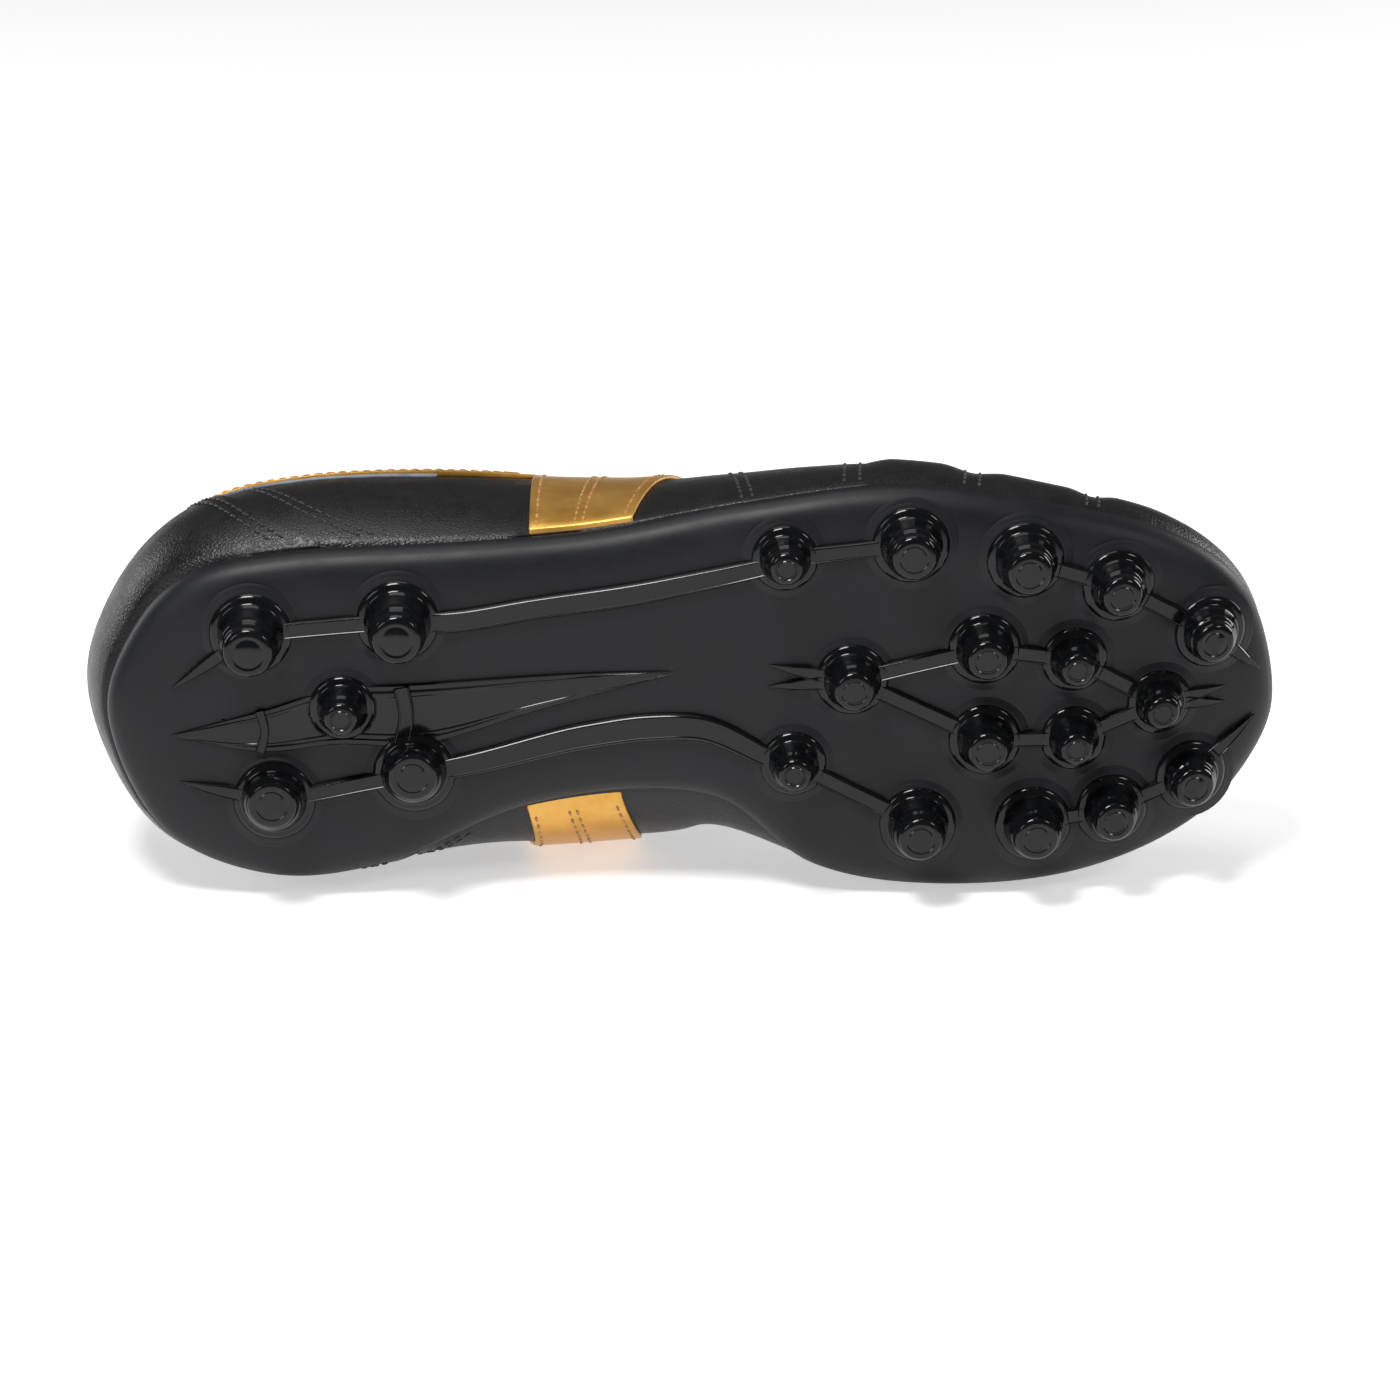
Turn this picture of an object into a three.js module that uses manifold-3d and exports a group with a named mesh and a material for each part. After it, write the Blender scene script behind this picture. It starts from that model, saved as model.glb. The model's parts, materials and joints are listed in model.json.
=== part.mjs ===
// A right-foot soccer cleat, standing on its studs. Millimetres, +Z up, toe towards +X,
// the little-toe side towards -Y. Every piece is one closed solid and one named mesh.
import * as THREE from 'three';
import { mergeVertices } from 'three/addons/utils/BufferGeometryUtils.js';
import Module from 'manifold-3d';

const wasm = await Module();
wasm.setup();
const { Manifold, CrossSection, Mesh } = wasm;

// ---- driving dimensions -------------------------------------------------------------
const soleLength = 283; // heel edge to toe tip of the outsole
const soleWidth = 101; // widest across the ball
const studHeight = 12.5; // plate underside to the ground
const middleStudHeight = 10.8;
const smallStudHeight = 10.2;
const studLean = 3; // how far a heel stud's tip stands inside its root
const heelStudTip = 5.6; // tip radii
const ballStudTip = 5.0;
const smallStudTip = 3.7;
const studFlare = 3.2; // how much wider a stud's root is than its tip
const ringWall = 1.5; // moulded ring round each stud
const ringRise = 1.5;
const socketDepth = 2.4; // how deep a stud sits in the plate
const plateThickness = 7.5;
const plateEdgeRound = 3;
const toeSpring = 14; // how far the toe tip rises
const springStart = 72; // x where the toe starts to rise
const waistRise = 1.6;
const ribRise = 1.6;
const ribWidth = 5;
const boardThickness = 1.4;
const shankLength = 110;
const shankWidth = 16;
const shankThickness = 1.2;
const wedgeThickness = 3;
const sockThickness = 3.4;
const sockHingeX = 34; // the sockliner bends here when its heel is lifted
const leather = 1.4;
const overlayLeather = 1.1;
const liningThickness = 1.0;
const stiffenerThickness = 1.0;
const layerGap = 0.4; // clearance between any two neighbouring pieces
const collarHeight = 84; // heel back of the topline above the ground
const instepHeight = 90;
const toeBoxHeight = 53.5;
const collarPadding = 4.5;
const throatHalf = 12.5; // half of the gap between the two eyestays
const eyestayWidth = 15;
const eyeletRadius = 1.9;
const eyeletPairs = 5;
const bandFootWidth = 26; // side band where it meets the sole
const trimWidth = 5.5; // metallic strip below the topline
const tongueHalf = 17.5;
const tongueFoldX = -29; // the tongue's free top folds here, behind the eyestays' corners
const tongueSkin = 1.2;
const tongueFoam = 3;

// ---- derived levels -----------------------------------------------------------------
const plateTop = studHeight + plateThickness;
const upperFoot = plateTop + 0.5; // the plate is faceted, so the upper stands a little clear
const outerFrom = layerGap * 2 + stiffenerThickness; // distance of each layer from the last
const outerTo = outerFrom + leather;
const overlayFrom = outerTo + layerGap * 1.25;
const overlayTo = overlayFrom + overlayLeather;
const facetStep = 0.25; // stations between two columns of a panel
const lastInset = outerTo + 0.6; // last's feather edge, inside the sole's edge

// Outline of the sole seen from above, as shares of the length and of the ball width:
// heel back, little-toe side to the toe tip, then the big-toe side back to the heel.
const soleOutline = [
  [-0.502, 0.03], [-0.481, -0.18], [-0.431, -0.327], [-0.346, -0.381], [-0.212, -0.401],
  [-0.088, -0.426], [0.035, -0.495], [0.170, -0.540], [0.300, -0.490], [0.403, -0.406],
  [0.470, -0.257], [0.498, -0.03], [0.477, 0.129], [0.417, 0.297], [0.325, 0.421],
  [0.205, 0.460], [0.099, 0.406], [0.007, 0.228], [-0.141, 0.252], [-0.265, 0.396],
  [-0.367, 0.426], [-0.459, 0.307],
].map(([along, across]) => [along * soleLength, across * soleWidth]);
const stations = soleOutline.length;
const toe = stations / 2; // station of the toe tip, station 0 is the heel back

// Top of the last at each station from heel to toe: x share, half width, height share.
const topLine = [
  [-0.481, 0, 1], [-0.456, 15, 0.98], [-0.399, 26, 0.925], [-0.311, 31, 0.88],
  [-0.195, 30, 0.9], [-0.085, 18, 1.06], [0.035, 0, 1.035], [0.163, 0, 0.89],
  [0.283, 0, 0.75], [0.357, 0, 0.68], [0.392, 0, 0.648], [0.406, 0, 0.637],
];
const heightAt = (share, station) => {
  const forward = THREE.MathUtils.smoothstep(station, 5, toe);
  const back = share * collarHeight;
  const front = station < 7 ? share * instepHeight * 0.96 : share * toeBoxHeight / 0.637;
  return THREE.MathUtils.lerp(back, front, forward);
};
const bulgeLateral = [4, 5.5, 8, 9, 6.5, 4.5, 4, 3.5, 3, 3, 2.5, 2]; // how far each wall swells
const bulgeMedial = [4, 4, 3, 5, 18, 22, 6, 3, 3, 3, 2.5, 2];
const domed = [0, 0, 0, 0.05, 0.3, 0.75, 1, 1, 1, 1, 1, 1]; // 0 upright wall, 1 quarter dome

// ---- curves -------------------------------------------------------------------------
function spline(p0, p1, p2, p3, t) {
  const a = 2 * p1;
  const b = p2 - p0;
  const c = 2 * p0 - 5 * p1 + 4 * p2 - p3;
  const d = 3 * p1 - p0 - 3 * p2 + p3;
  return 0.5 * (a + b * t + c * t * t + d * t * t * t);
}

function ringValue(read, u) {
  const i = Math.floor(u);
  const at = (k) => read(((k % stations) + stations) % stations);
  return spline(at(i - 1), at(i), at(i + 1), at(i + 2), u - i);
}

// Value of a heel-to-toe table at station u of the closed ring (both sides share it).
const mirrored = (table, u) => ringValue((k) => table[k <= toe ? k : stations - k], u);
const isMedial = (u) => ((u % stations) + stations) % stations > toe;

function outlinePoint(u) {
  return new THREE.Vector2(
    ringValue((k) => soleOutline[k][0], u),
    ringValue((k) => soleOutline[k][1], u),
  );
}

function outwardAt(u) {
  const ahead = outlinePoint(u + 0.05);
  const behind = outlinePoint(u - 0.05);
  const along = ahead.sub(behind).normalize();
  return new THREE.Vector2(along.y, -along.x);
}

function springAt(x) {
  const rise = Math.max(0, (x - springStart) / (soleLength / 2 - springStart));
  const waist = Math.exp(-(((x + 22) / 24) ** 2));
  return toeSpring * rise * rise + waistRise * waist;
}

const centreY = (x) => -0.5 - 0.024 * x;

// Point of the last at station u and height share v, before the sole's rise is added.
function lastPoint(u, v) {
  const station = toe - Math.abs((((u % stations) + stations) % stations) - toe);
  const side = isMedial(u) ? 1 : -1;
  const foot = outlinePoint(u).addScaledVector(outwardAt(u), -lastInset);
  const topX = mirrored(topLine.map((row) => row[0]), u) * soleLength;
  const signedHalf = ringValue((j) => (
    j > toe ? topLine[stations - j][1] : -topLine[j][1]
  ), u);
  const half = Math.max(0, side * signedHalf);
  const topZ = heightAt(mirrored(topLine.map((row) => row[2]), u), station);
  const k = THREE.MathUtils.clamp(mirrored(domed, u), 0, 1);
  const bulge = ringValue((j) => (j > toe ? bulgeMedial[stations - j] : bulgeLateral[j]), u);
  const lean = THREE.MathUtils.lerp(v * v, 1 - Math.cos(v * Math.PI / 2), k);
  const rise = THREE.MathUtils.lerp(v, Math.sin(v * Math.PI / 2), k);
  const swell = bulge * Math.sin(Math.PI * Math.min(1, v) ** 0.75);
  const outward = outwardAt(u);
  return new THREE.Vector3(
    THREE.MathUtils.lerp(foot.x, topX, lean) + outward.x * swell,
    THREE.MathUtils.lerp(foot.y, centreY(topX) + side * half, lean) + outward.y * swell,
    THREE.MathUtils.lerp(upperFoot, topZ, rise),
  );
}

function lastNormal(u, v) {
  const du = 0.04;
  const dv = 0.01;
  const low = Math.min(v, 1 - dv);
  const alongU = lastPoint(u + du, low).sub(lastPoint(u - du, low));
  const alongV = lastPoint(u, low + dv).sub(lastPoint(u, Math.max(0, low - dv)));
  return alongU.cross(alongV).normalize();
}

// The last's point moved out by d along its normal; its foot follows the sole.
function skin(u, v, d) {
  const normal = lastNormal(u, v);
  normal.z *= THREE.MathUtils.smoothstep(v, 0, 0.25);
  normal.normalize();
  const point = lastPoint(u, v).addScaledVector(normal, d);
  point.z += springAt(point.x) * (1 - v);
  return point;
}

// Station on one side (-1 little-toe side, +1 big-toe side) whose foot lies at x.
function stationAt(side, x) {
  let low = 0;
  let high = toe;
  for (let step = 0; step < 40; step += 1) {
    const mid = (low + high) / 2;
    const u = side < 0 ? mid : stations - mid;
    if (outlinePoint(u).x < x) {
      low = mid;
    } else {
      high = mid;
    }
  }
  return low;
}

// Highest share v at station u that keeps the point at least half from the centre line.
function shareBeside(u, half) {
  const off = (v) => Math.abs(lastPoint(u, v).y - centreY(lastPoint(u, v).x));
  if (off(1) >= half) {
    return 1;
  }
  let low = 0.3;
  let high = 1;
  for (let step = 0; step < 30; step += 1) {
    const mid = (low + high) / 2;
    if (off(mid) > half) {
      low = mid;
    } else {
      high = mid;
    }
  }
  return low;
}

// ---- solids -------------------------------------------------------------------------
// Closed solid from two grids of points with the same rows and columns. With foldedEnd the
// last row meets itself half way across, so it needs no edge wall.
function slab(outer, inner, foldedEnd = false) {
  const rows = outer.length;
  const cols = outer[0].length;
  const positions = [];
  const indices = [];
  [outer, inner].forEach((grid) => grid.forEach((row) => row.forEach((p) => {
    positions.push(p.x, p.y, p.z);
  })));
  const out = (r, c) => r * cols + c;
  const inn = (r, c) => rows * cols + r * cols + c;
  const quad = (a, b, c, d) => indices.push(a, b, c, a, c, d);
  for (let r = 0; r < rows - 1; r += 1) {
    for (let c = 0; c < cols - 1; c += 1) {
      quad(out(r, c), out(r, c + 1), out(r + 1, c + 1), out(r + 1, c));
      quad(inn(r, c), inn(r + 1, c), inn(r + 1, c + 1), inn(r, c + 1));
    }
  }
  for (let c = 0; c < cols - 1; c += 1) {
    quad(out(0, c), inn(0, c), inn(0, c + 1), out(0, c + 1));
    if (!foldedEnd) {
      quad(out(rows - 1, c), out(rows - 1, c + 1), inn(rows - 1, c + 1), inn(rows - 1, c));
    }
  }
  for (let r = 0; r < rows - 1; r += 1) {
    quad(out(r, 0), out(r + 1, 0), inn(r + 1, 0), inn(r, 0));
    quad(out(r, cols - 1), inn(r, cols - 1), inn(r + 1, cols - 1), out(r + 1, cols - 1));
  }
  return toManifold(positions, indices);
}

function toManifold(positions, indices) {
  const geometry = new THREE.BufferGeometry();
  geometry.setAttribute('position', new THREE.Float32BufferAttribute(positions, 3));
  geometry.setIndex(indices);
  const merged = mergeVertices(geometry, 1e-4);
  const mesh = new Mesh({
    numProp: 3,
    vertProperties: new Float32Array(merged.attributes.position.array),
    triVerts: new Uint32Array(merged.index.array),
  });
  mesh.merge();
  return Manifold.ofMesh(mesh);
}

function grid(rows, cols, pointAt) {
  return Array.from({ length: rows + 1 }, (_, r) => (
    Array.from({ length: cols + 1 }, (__, c) => pointAt(r / rows, c / cols))
  ));
}

// Panel of the upper: stations from..to, shares low(u)..high(u), between two depths. Every
// panel has its columns at the same stations, so facets of neighbouring layers line up.
function panel({ from, to, low, high, inner, outer, rows }) {
  const stops = [from];
  for (let k = Math.ceil((from + 0.03) / facetStep); k * facetStep < to - 0.03; k += 1) {
    stops.push(k * facetStep);
  }
  stops.push(to);
  const surface = (depth) => grid(rows, stops.length - 1, (r, c) => {
    const u = stops[Math.round(c * (stops.length - 1))];
    const v = THREE.MathUtils.lerp(low(u), high(u), r);
    return skin(u, v, typeof depth === 'function' ? depth(u, v) : depth);
  });
  return slab(surface(outer), surface(inner));
}

// The same panel on one side of the shoe; stations are counted from the heel.
function sidePanel(side, spec) {
  const fold = (u) => (side < 0 ? u : stations - u);
  return panel({
    ...spec,
    from: side < 0 ? spec.from : stations - spec.to,
    to: side < 0 ? spec.to : stations - spec.from,
    low: (u) => spec.low(fold(u)),
    high: (u) => spec.high(fold(u)),
  });
}

// Toe panel: little-toe side, over the ridge, to the big-toe side.
function toePanel({ from, inner, outer, rows, cols }) {
  const half = (depth) => grid(rows, cols, (r, c) => {
    const station = THREE.MathUtils.lerp(from, toe, r);
    const across = 2 * c - 1;
    const u = across < 0 ? station : stations - station;
    const point = skin(u, 1 - Math.abs(across), depth);
    if (c === 0.5) {
      const other = skin(stations - station, 1, depth);
      point.add(other).multiplyScalar(0.5);
    }
    return point;
  });
  return slab(half(inner), half(outer), true); // rows run forwards here, so the faces swap
}

function plateOutline(inset, count = 66) {
  return Array.from({ length: count }, (_, i) => {
    const u = i * stations / count;
    const p = outlinePoint(u).addScaledVector(outwardAt(u), -inset);
    return [p.x, p.y];
  });
}

const flatSole = (inset) => new CrossSection([plateOutline(inset)]);
const springUp = (solid, size = 20) => solid.refineToLength(size).warp((p) => {
  p[2] += springAt(p[0]);
});

function capsule(a, b, widthA, widthB, height, z) {
  const disc = (p, w) => CrossSection.circle(w / 2, 8).translate(p);
  const hull = CrossSection.hull([disc(a, widthA), disc(b, widthB)]);
  return Manifold.extrude(hull, height).translate([0, 0, z]);
}

// ---- studs and ribs -----------------------------------------------------------------
const along = (share) => share * soleLength;
const across = (share) => share * soleWidth;
const size = {
  heel: { tip: heelStudTip, height: studHeight },
  ball: { tip: ballStudTip, height: studHeight },
  middle: { tip: ballStudTip - 0.5, height: middleStudHeight },
  small: { tip: smallStudTip, height: smallStudHeight },
};
const studs = {
  heel_lateral_rear: { at: [-0.378, -0.200], size: size.heel, lean: studLean },
  heel_lateral_front: { at: [-0.254, -0.230], size: size.heel, lean: studLean },
  heel_centre: { at: [-0.302, -0.015], size: size.small },
  heel_medial_rear: { at: [-0.361, 0.218], size: size.heel, lean: -studLean },
  heel_medial_front: { at: [-0.242, 0.150], size: size.heel, lean: -studLean },
  lateral_1: { at: [0.072, -0.380], size: size.small },
  lateral_2: { at: [0.178, -0.412], size: size.ball },
  lateral_3: { at: [0.275, -0.373], size: size.ball },
  lateral_4: { at: [0.355, -0.303], size: size.middle },
  lateral_5: { at: [0.437, -0.172], size: size.middle },
  centre_1: { at: [0.130, -0.080], size: size.middle },
  centre_2: { at: [0.242, -0.155], size: size.middle },
  centre_3: { at: [0.319, -0.125], size: size.small },
  centre_4: { at: [0.244, 0.072], size: size.middle },
  centre_5: { at: [0.320, 0.072], size: size.small },
  centre_6: { at: [0.394, -0.006], size: size.small },
  medial_1: { at: [0.081, 0.130], size: size.small },
  medial_2: { at: [0.188, 0.285], size: size.ball },
  medial_3: { at: [0.287, 0.285], size: size.ball },
  medial_4: { at: [0.355, 0.257], size: size.middle },
  medial_5: { at: [0.424, 0.186], size: size.middle },
};
const placeOf = (name) => [along(studs[name].at[0]), across(studs[name].at[1])];
const rootRadius = (stud) => stud.size.tip + studFlare;

function studSolid(stud) {
  const { tip, height } = stud.size;
  const ground = studHeight - height;
  const root = rootRadius(stud);
  const outline = [
    [0, ground], [tip - 1, ground], [tip, ground + 0.9], [tip + 1, ground + height * 0.5],
    [root - 0.5, studHeight - 1.8], [root, studHeight],
    [root, studHeight + socketDepth - layerGap], [0, studHeight + socketDepth - layerGap],
  ];
  const upright = Manifold.revolve(new CrossSection([outline]), 14);
  const leaning = upright.warp((p) => {
    p[1] += (stud.lean ?? 0) * Math.max(0, 1 - p[2] / studHeight);
  });
  return leaning.translate([along(stud.at[0]), across(stud.at[1]), 0]);
}

function ribBetween(a, b, wide = ribWidth, narrow = wide) {
  return capsule(a, b, wide, narrow, ribRise + 1, studHeight - ribRise);
}

function curvedRib(points, wide) {
  const curve = new THREE.SplineCurve(points.map(([x, y]) => new THREE.Vector2(x, y)));
  const path = curve.getPoints(6).map((p) => [p.x, p.y]);
  const pieces = path.slice(1).map((p, i) => ribBetween(path[i], p, wide));
  return Manifold.union(pieces);
}

function heelLens() {
  const lens = [[-0.445, 0.06], [-0.37, -0.05], [-0.24, -0.085], [-0.02, -0.1],
    [-0.24, 0.075], [-0.37, 0.09]].map(([x, y]) => [along(x), across(y)]);
  const outer = new CrossSection([lens]);
  return Manifold.extrude(outer, ribRise + 1).translate([0, 0, studHeight - ribRise * 0.7]);
}

function buildPlate() {
  const body = Manifold.extrude(flatSole(0), plateThickness - plateEdgeRound)
    .translate([0, 0, studHeight + plateEdgeRound]);
  const steps = [[plateEdgeRound * 0.35, plateEdgeRound * 0.5], [plateEdgeRound * 1.2, 0]];
  const rounded = steps.map(([inset, low]) => (
    Manifold.extrude(flatSole(inset), plateThickness - low).translate([0, 0, studHeight + low])
  ));
  const link = (a, b, wide, narrow) => ribBetween(placeOf(a), placeOf(b), wide, narrow);
  const spike = (a, point) => (
    ribBetween(placeOf(a), [along(point[0]), across(point[1])], ribWidth, 0.8)
  );
  const ribs = [
    link('heel_lateral_rear', 'heel_lateral_front'), link('heel_medial_rear', 'heel_medial_front'),
    link('lateral_1', 'lateral_2'), link('lateral_3', 'lateral_4'), link('lateral_4', 'lateral_5'),
    link('centre_1', 'centre_2'), link('centre_2', 'centre_3'), link('centre_3', 'centre_6'),
    link('centre_1', 'centre_4'), link('centre_4', 'centre_5'), link('centre_5', 'centre_6'),
    link('medial_1', 'medial_2'), link('medial_3', 'medial_4'), link('medial_4', 'medial_5'),
    spike('heel_lateral_rear', [-0.447, -0.06]), spike('heel_medial_rear', [-0.442, 0.17]),
    spike('lateral_5', [0.484, -0.06]), spike('medial_5', [0.481, 0.05]),
    spike('centre_1', [0.058, -0.115]), spike('centre_1', [0.057, -0.06]),
    spike('centre_6', [0.454, -0.03]), spike('centre_6', [0.454, 0.01]),
    curvedRib([placeOf('heel_lateral_front'), [along(-0.06), across(-0.29)],
      placeOf('lateral_1')], ribWidth),
    curvedRib([placeOf('heel_medial_front'), [along(-0.1), across(0.06)],
      [along(0.01), across(0.04)], placeOf('medial_1')], ribWidth + 2),
    heelLens(),
  ];
  const rings = Object.values(studs).map((stud) => (
    Manifold.cylinder(ringRise + 1, rootRadius(stud) + ringWall, rootRadius(stud) + ringWall + 0.8, 14)
      .translate([along(stud.at[0]), across(stud.at[1]), studHeight - ringRise])
  ));
  const sockets = Object.values(studs).map((stud) => (
    Manifold.cylinder(ringRise + socketDepth + 1, rootRadius(stud) + layerGap,
      rootRadius(stud) + layerGap, 14)
      .translate([along(stud.at[0]), across(stud.at[1]), studHeight - ringRise - 1])
  ));
  const pocket = Manifold.cube([shankLength + 1, shankWidth + 1, shankThickness + layerGap + 1], true)
    .translate([along(-0.14), 0, plateTop - shankThickness / 2 - layerGap / 2 + 0.5]);
  const whole = Manifold.union([body, ...rounded, ...ribs, ...rings]);
  return whole.subtract(Manifold.union([...sockets, pocket]));
}

// ---- pieces -------------------------------------------------------------------------
const group = new THREE.Group();
group.name = 'soccer_cleat';
const shades = {
  black: 0x26272a, gloss: 0x111214, gold: 0xc8923c, lining: 0x3c3f46, board: 0xb9a888,
  foam: 0x55575c, steel: 0x8d9095,
};

function add(name, solid, shade) {
  const mesh = solid.getMesh();
  const geometry = new THREE.BufferGeometry();
  const points = [];
  for (let i = 0; i < mesh.vertProperties.length; i += mesh.numProp) {
    points.push(...mesh.vertProperties.slice(i, i + 3));
  }
  geometry.setAttribute('position', new THREE.Float32BufferAttribute(points, 3));
  geometry.setIndex([...mesh.triVerts]);
  const piece = new THREE.Mesh(geometry, new THREE.MeshStandardMaterial({ color: shades[shade] }));
  piece.name = name;
  group.add(piece);
}

add('outsole_plate', springUp(buildPlate()), 'black');
Object.entries(studs).forEach(([name, stud]) => {
  add(`stud_${name}`, springUp(studSolid(stud), 40), 'gloss');
});
add('shank', springUp(Manifold.cube([shankLength, shankWidth, shankThickness], true)
  .translate([along(-0.14), 0, plateTop - shankThickness / 2 - layerGap / 2]), 20), 'steel');

// Layers that lie on the plate, inside the upper.
const boardInset = lastInset + liningThickness + layerGap * 3;
const boardLevel = plateTop + layerGap;
add('lasting_board', springUp(Manifold.extrude(flatSole(boardInset), boardThickness)
  .translate([0, 0, boardLevel]), 40), 'board');
const wedgeLevel = boardLevel + boardThickness + layerGap;
const slice = (fromX, toX, low, high) => Manifold.cube([toX - fromX, 200, high - low])
  .translate([fromX, -100, low]);
const softInset = boardInset + 1;
add('heel_wedge', springUp(Manifold.extrude(flatSole(softInset), wedgeThickness)
  .intersect(slice(-200, along(-0.14), -1, 20)).translate([0, 0, wedgeLevel]), 40), 'foam');
const sockLevel = wedgeLevel + wedgeThickness + layerGap;
const rearSock = Manifold.extrude(flatSole(softInset + 1), sockThickness)
  .intersect(slice(-200, sockHingeX, -1, 20)).translate([0, 0, sockLevel]);
add('sockliner_rear', springUp(rearSock, 40), 'lining');
const frontSock = Manifold.extrude(flatSole(softInset + 1), sockThickness)
  .intersect(slice(sockHingeX + layerGap * 2, 200, -1, 20)).translate([0, 0, sockLevel]);
add('sockliner_front', springUp(frontSock, 40), 'lining');

// Upper. Stations are counted from the heel back (0) to the toe tip.
const vampFrom = 6.9;
const collarFront = 4; // behind this station the panels reach the topline
const seam = 0.02;
const vampEdge = vampFrom + seam * 2;
add('vamp', toePanel({ from: vampEdge, inner: outerFrom, outer: outerTo, rows: 13, cols: 16 }), 'black');
add('vamp_lining', toePanel({
  from: vampEdge, inner: -liningThickness, outer: 0, rows: 10, cols: 12,
}), 'lining');
add('toe_puff', toePanel({
  from: 9.2, inner: layerGap, outer: layerGap + stiffenerThickness, rows: 6, cols: 12,
}), 'board');

const eyelets = [-1, 1].flatMap((side) => Array.from({ length: eyeletPairs }, (_, i) => {
  const station = THREE.MathUtils.lerp(5.25, 6.6, i / (eyeletPairs - 1));
  const u = side < 0 ? station : stations - station;
  const v = shareBeside(u, throatHalf + eyestayWidth * 0.45);
  const normal = lastNormal(u, v);
  const turn = new THREE.Quaternion().setFromUnitVectors(new THREE.Vector3(0, 0, 1), normal);
  const euler = new THREE.Euler().setFromQuaternion(turn, 'ZYX');
  const centre = skin(u, v, 0);
  return Manifold.cylinder(16, eyeletRadius, eyeletRadius, 10, true)
    .rotate([euler.x, euler.y, euler.z].map(THREE.MathUtils.radToDeg))
    .translate([centre.x, centre.y, centre.z]);
}));
const punches = Manifold.union(eyelets);
const paddingAt = (u, v) => {
  const station = toe - Math.abs((((u % stations) + stations) % stations) - toe);
  const near = 1 - THREE.MathUtils.smoothstep(station, 4.2, 5);
  return -collarPadding * near * THREE.MathUtils.smoothstep(v, 0.5, 0.85);
};

[[-1, 'lateral'], [1, 'medial']].forEach(([side, label]) => {
  const limit = (half) => (station) => (
    station < collarFront ? 1 : shareBeside(side < 0 ? station : stations - station, half)
  );
  const foot = () => 0;
  add(`quarter_${label}`, sidePanel(side, {
    from: seam, to: vampFrom, low: foot, high: limit(throatHalf),
    inner: outerFrom, outer: outerTo, rows: 8,
  }).subtract(punches), 'black');
  add(`quarter_lining_${label}`, sidePanel(side, {
    from: 2.6, to: vampFrom, low: foot, high: limit(throatHalf),
    inner: (u, v) => paddingAt(u, v) - liningThickness, outer: paddingAt, rows: 8,
  }).subtract(punches), 'lining');
  add(`eyestay_${label}`, sidePanel(side, {
    from: 4.95, to: vampFrom - 0.1, low: limit(throatHalf + eyestayWidth), high: limit(throatHalf),
    inner: overlayFrom, outer: overlayTo, rows: 3,
  }).subtract(punches), 'black');
  const centre = side < 0 ? stationAt(side, -30) : stationAt(side, -28);
  const reach = bandFootWidth / 2 / soleLength * 8.5;
  add(`side_band_${label}`, sidePanel(side, {
    from: centre - reach, to: centre + reach, low: foot,
    high: (station) => limit(throatHalf + eyestayWidth + 1)(station) - 0.03,
    inner: overlayFrom, outer: overlayTo, rows: 8,
  }), 'gold');
  add(`collar_trim_${label}`, sidePanel(side, {
    from: 1.2, to: centre - reach - 0.06, low: () => 0.98 - trimWidth / 55, high: () => 0.98,
    inner: overlayFrom, outer: overlayTo, rows: 2,
  }), 'gold');
});

add('heel_lining', panel({
  from: -2.57, to: 2.57, low: () => 0, high: () => 1,
  inner: (u, v) => paddingAt(u, v) - liningThickness, outer: paddingAt, rows: 8,
}), 'lining');
add('heel_counter', panel({
  from: -3.2, to: 3.2, low: () => 0, high: () => 0.5,
  inner: layerGap, outer: layerGap + stiffenerThickness, rows: 4,
}), 'board');
add('collar_foam', panel({
  from: -4.3, to: 4.3, low: () => 0.6, high: () => 0.97,
  inner: (u, v) => paddingAt(u, v) + layerGap * 1.5, outer: outerFrom - layerGap * 1.5, rows: 3,
}), 'foam');
const foxingTop = (u) => 0.62 - 0.42 * THREE.MathUtils.smoothstep(Math.abs(u), 0.8, 3.1);
add('heel_foxing', panel({
  from: -3.2, to: 3.2, low: () => 0, high: foxingTop,
  inner: overlayFrom, outer: overlayTo, rows: 5,
}), 'black');

// Tongue: a curved strip below the eyestays; its free top folds about the throat's head.
const tongueSpine = new THREE.CatmullRomCurve3([
  [along(0.215), 0.842], [along(0.15), 0.902], [along(0.09), 0.945], [along(0.03), 0.985],
  [along(-0.05), 1.02], [along(-0.105), 1.075], [along(-0.165), 1.175], [along(-0.205), 1.26],
].map(([x, z]) => new THREE.Vector3(x, centreY(x), z * instepHeight * 0.9)));
const tongueDrop = 6;
function spineShareAt(x) {
  let low = 0;
  let high = 1;
  for (let step = 0; step < 30; step += 1) {
    const mid = (low + high) / 2;
    if (tongueSpine.getPointAt(mid).x > x) {
      low = mid;
    } else {
      high = mid;
    }
  }
  return low;
}
const foldAt = spineShareAt(tongueFoldX);

function tongueSlab(from, to, low, high) {
  const surface = (lift) => grid(8, 6, (r, c) => {
    const t = THREE.MathUtils.lerp(from, to, r);
    const centre = tongueSpine.getPointAt(t);
    const ahead = tongueSpine.getTangentAt(t);
    const up = new THREE.Vector3(ahead.z, 0, -ahead.x);
    const side = 2 * c - 1;
    const width = tongueHalf * (0.9 + 0.1 * THREE.MathUtils.smoothstep(t, 0.5, 1));
    const round = t > 0.9 ? Math.sqrt(1 - ((t - 0.9) / 0.13) ** 2) : 1;
    centre.y += side * width * round;
    centre.addScaledVector(up, lift - tongueDrop * side * side * (1 - 0.4 * t));
    return centre;
  });
  return slab(surface(high), surface(low));
}

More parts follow.
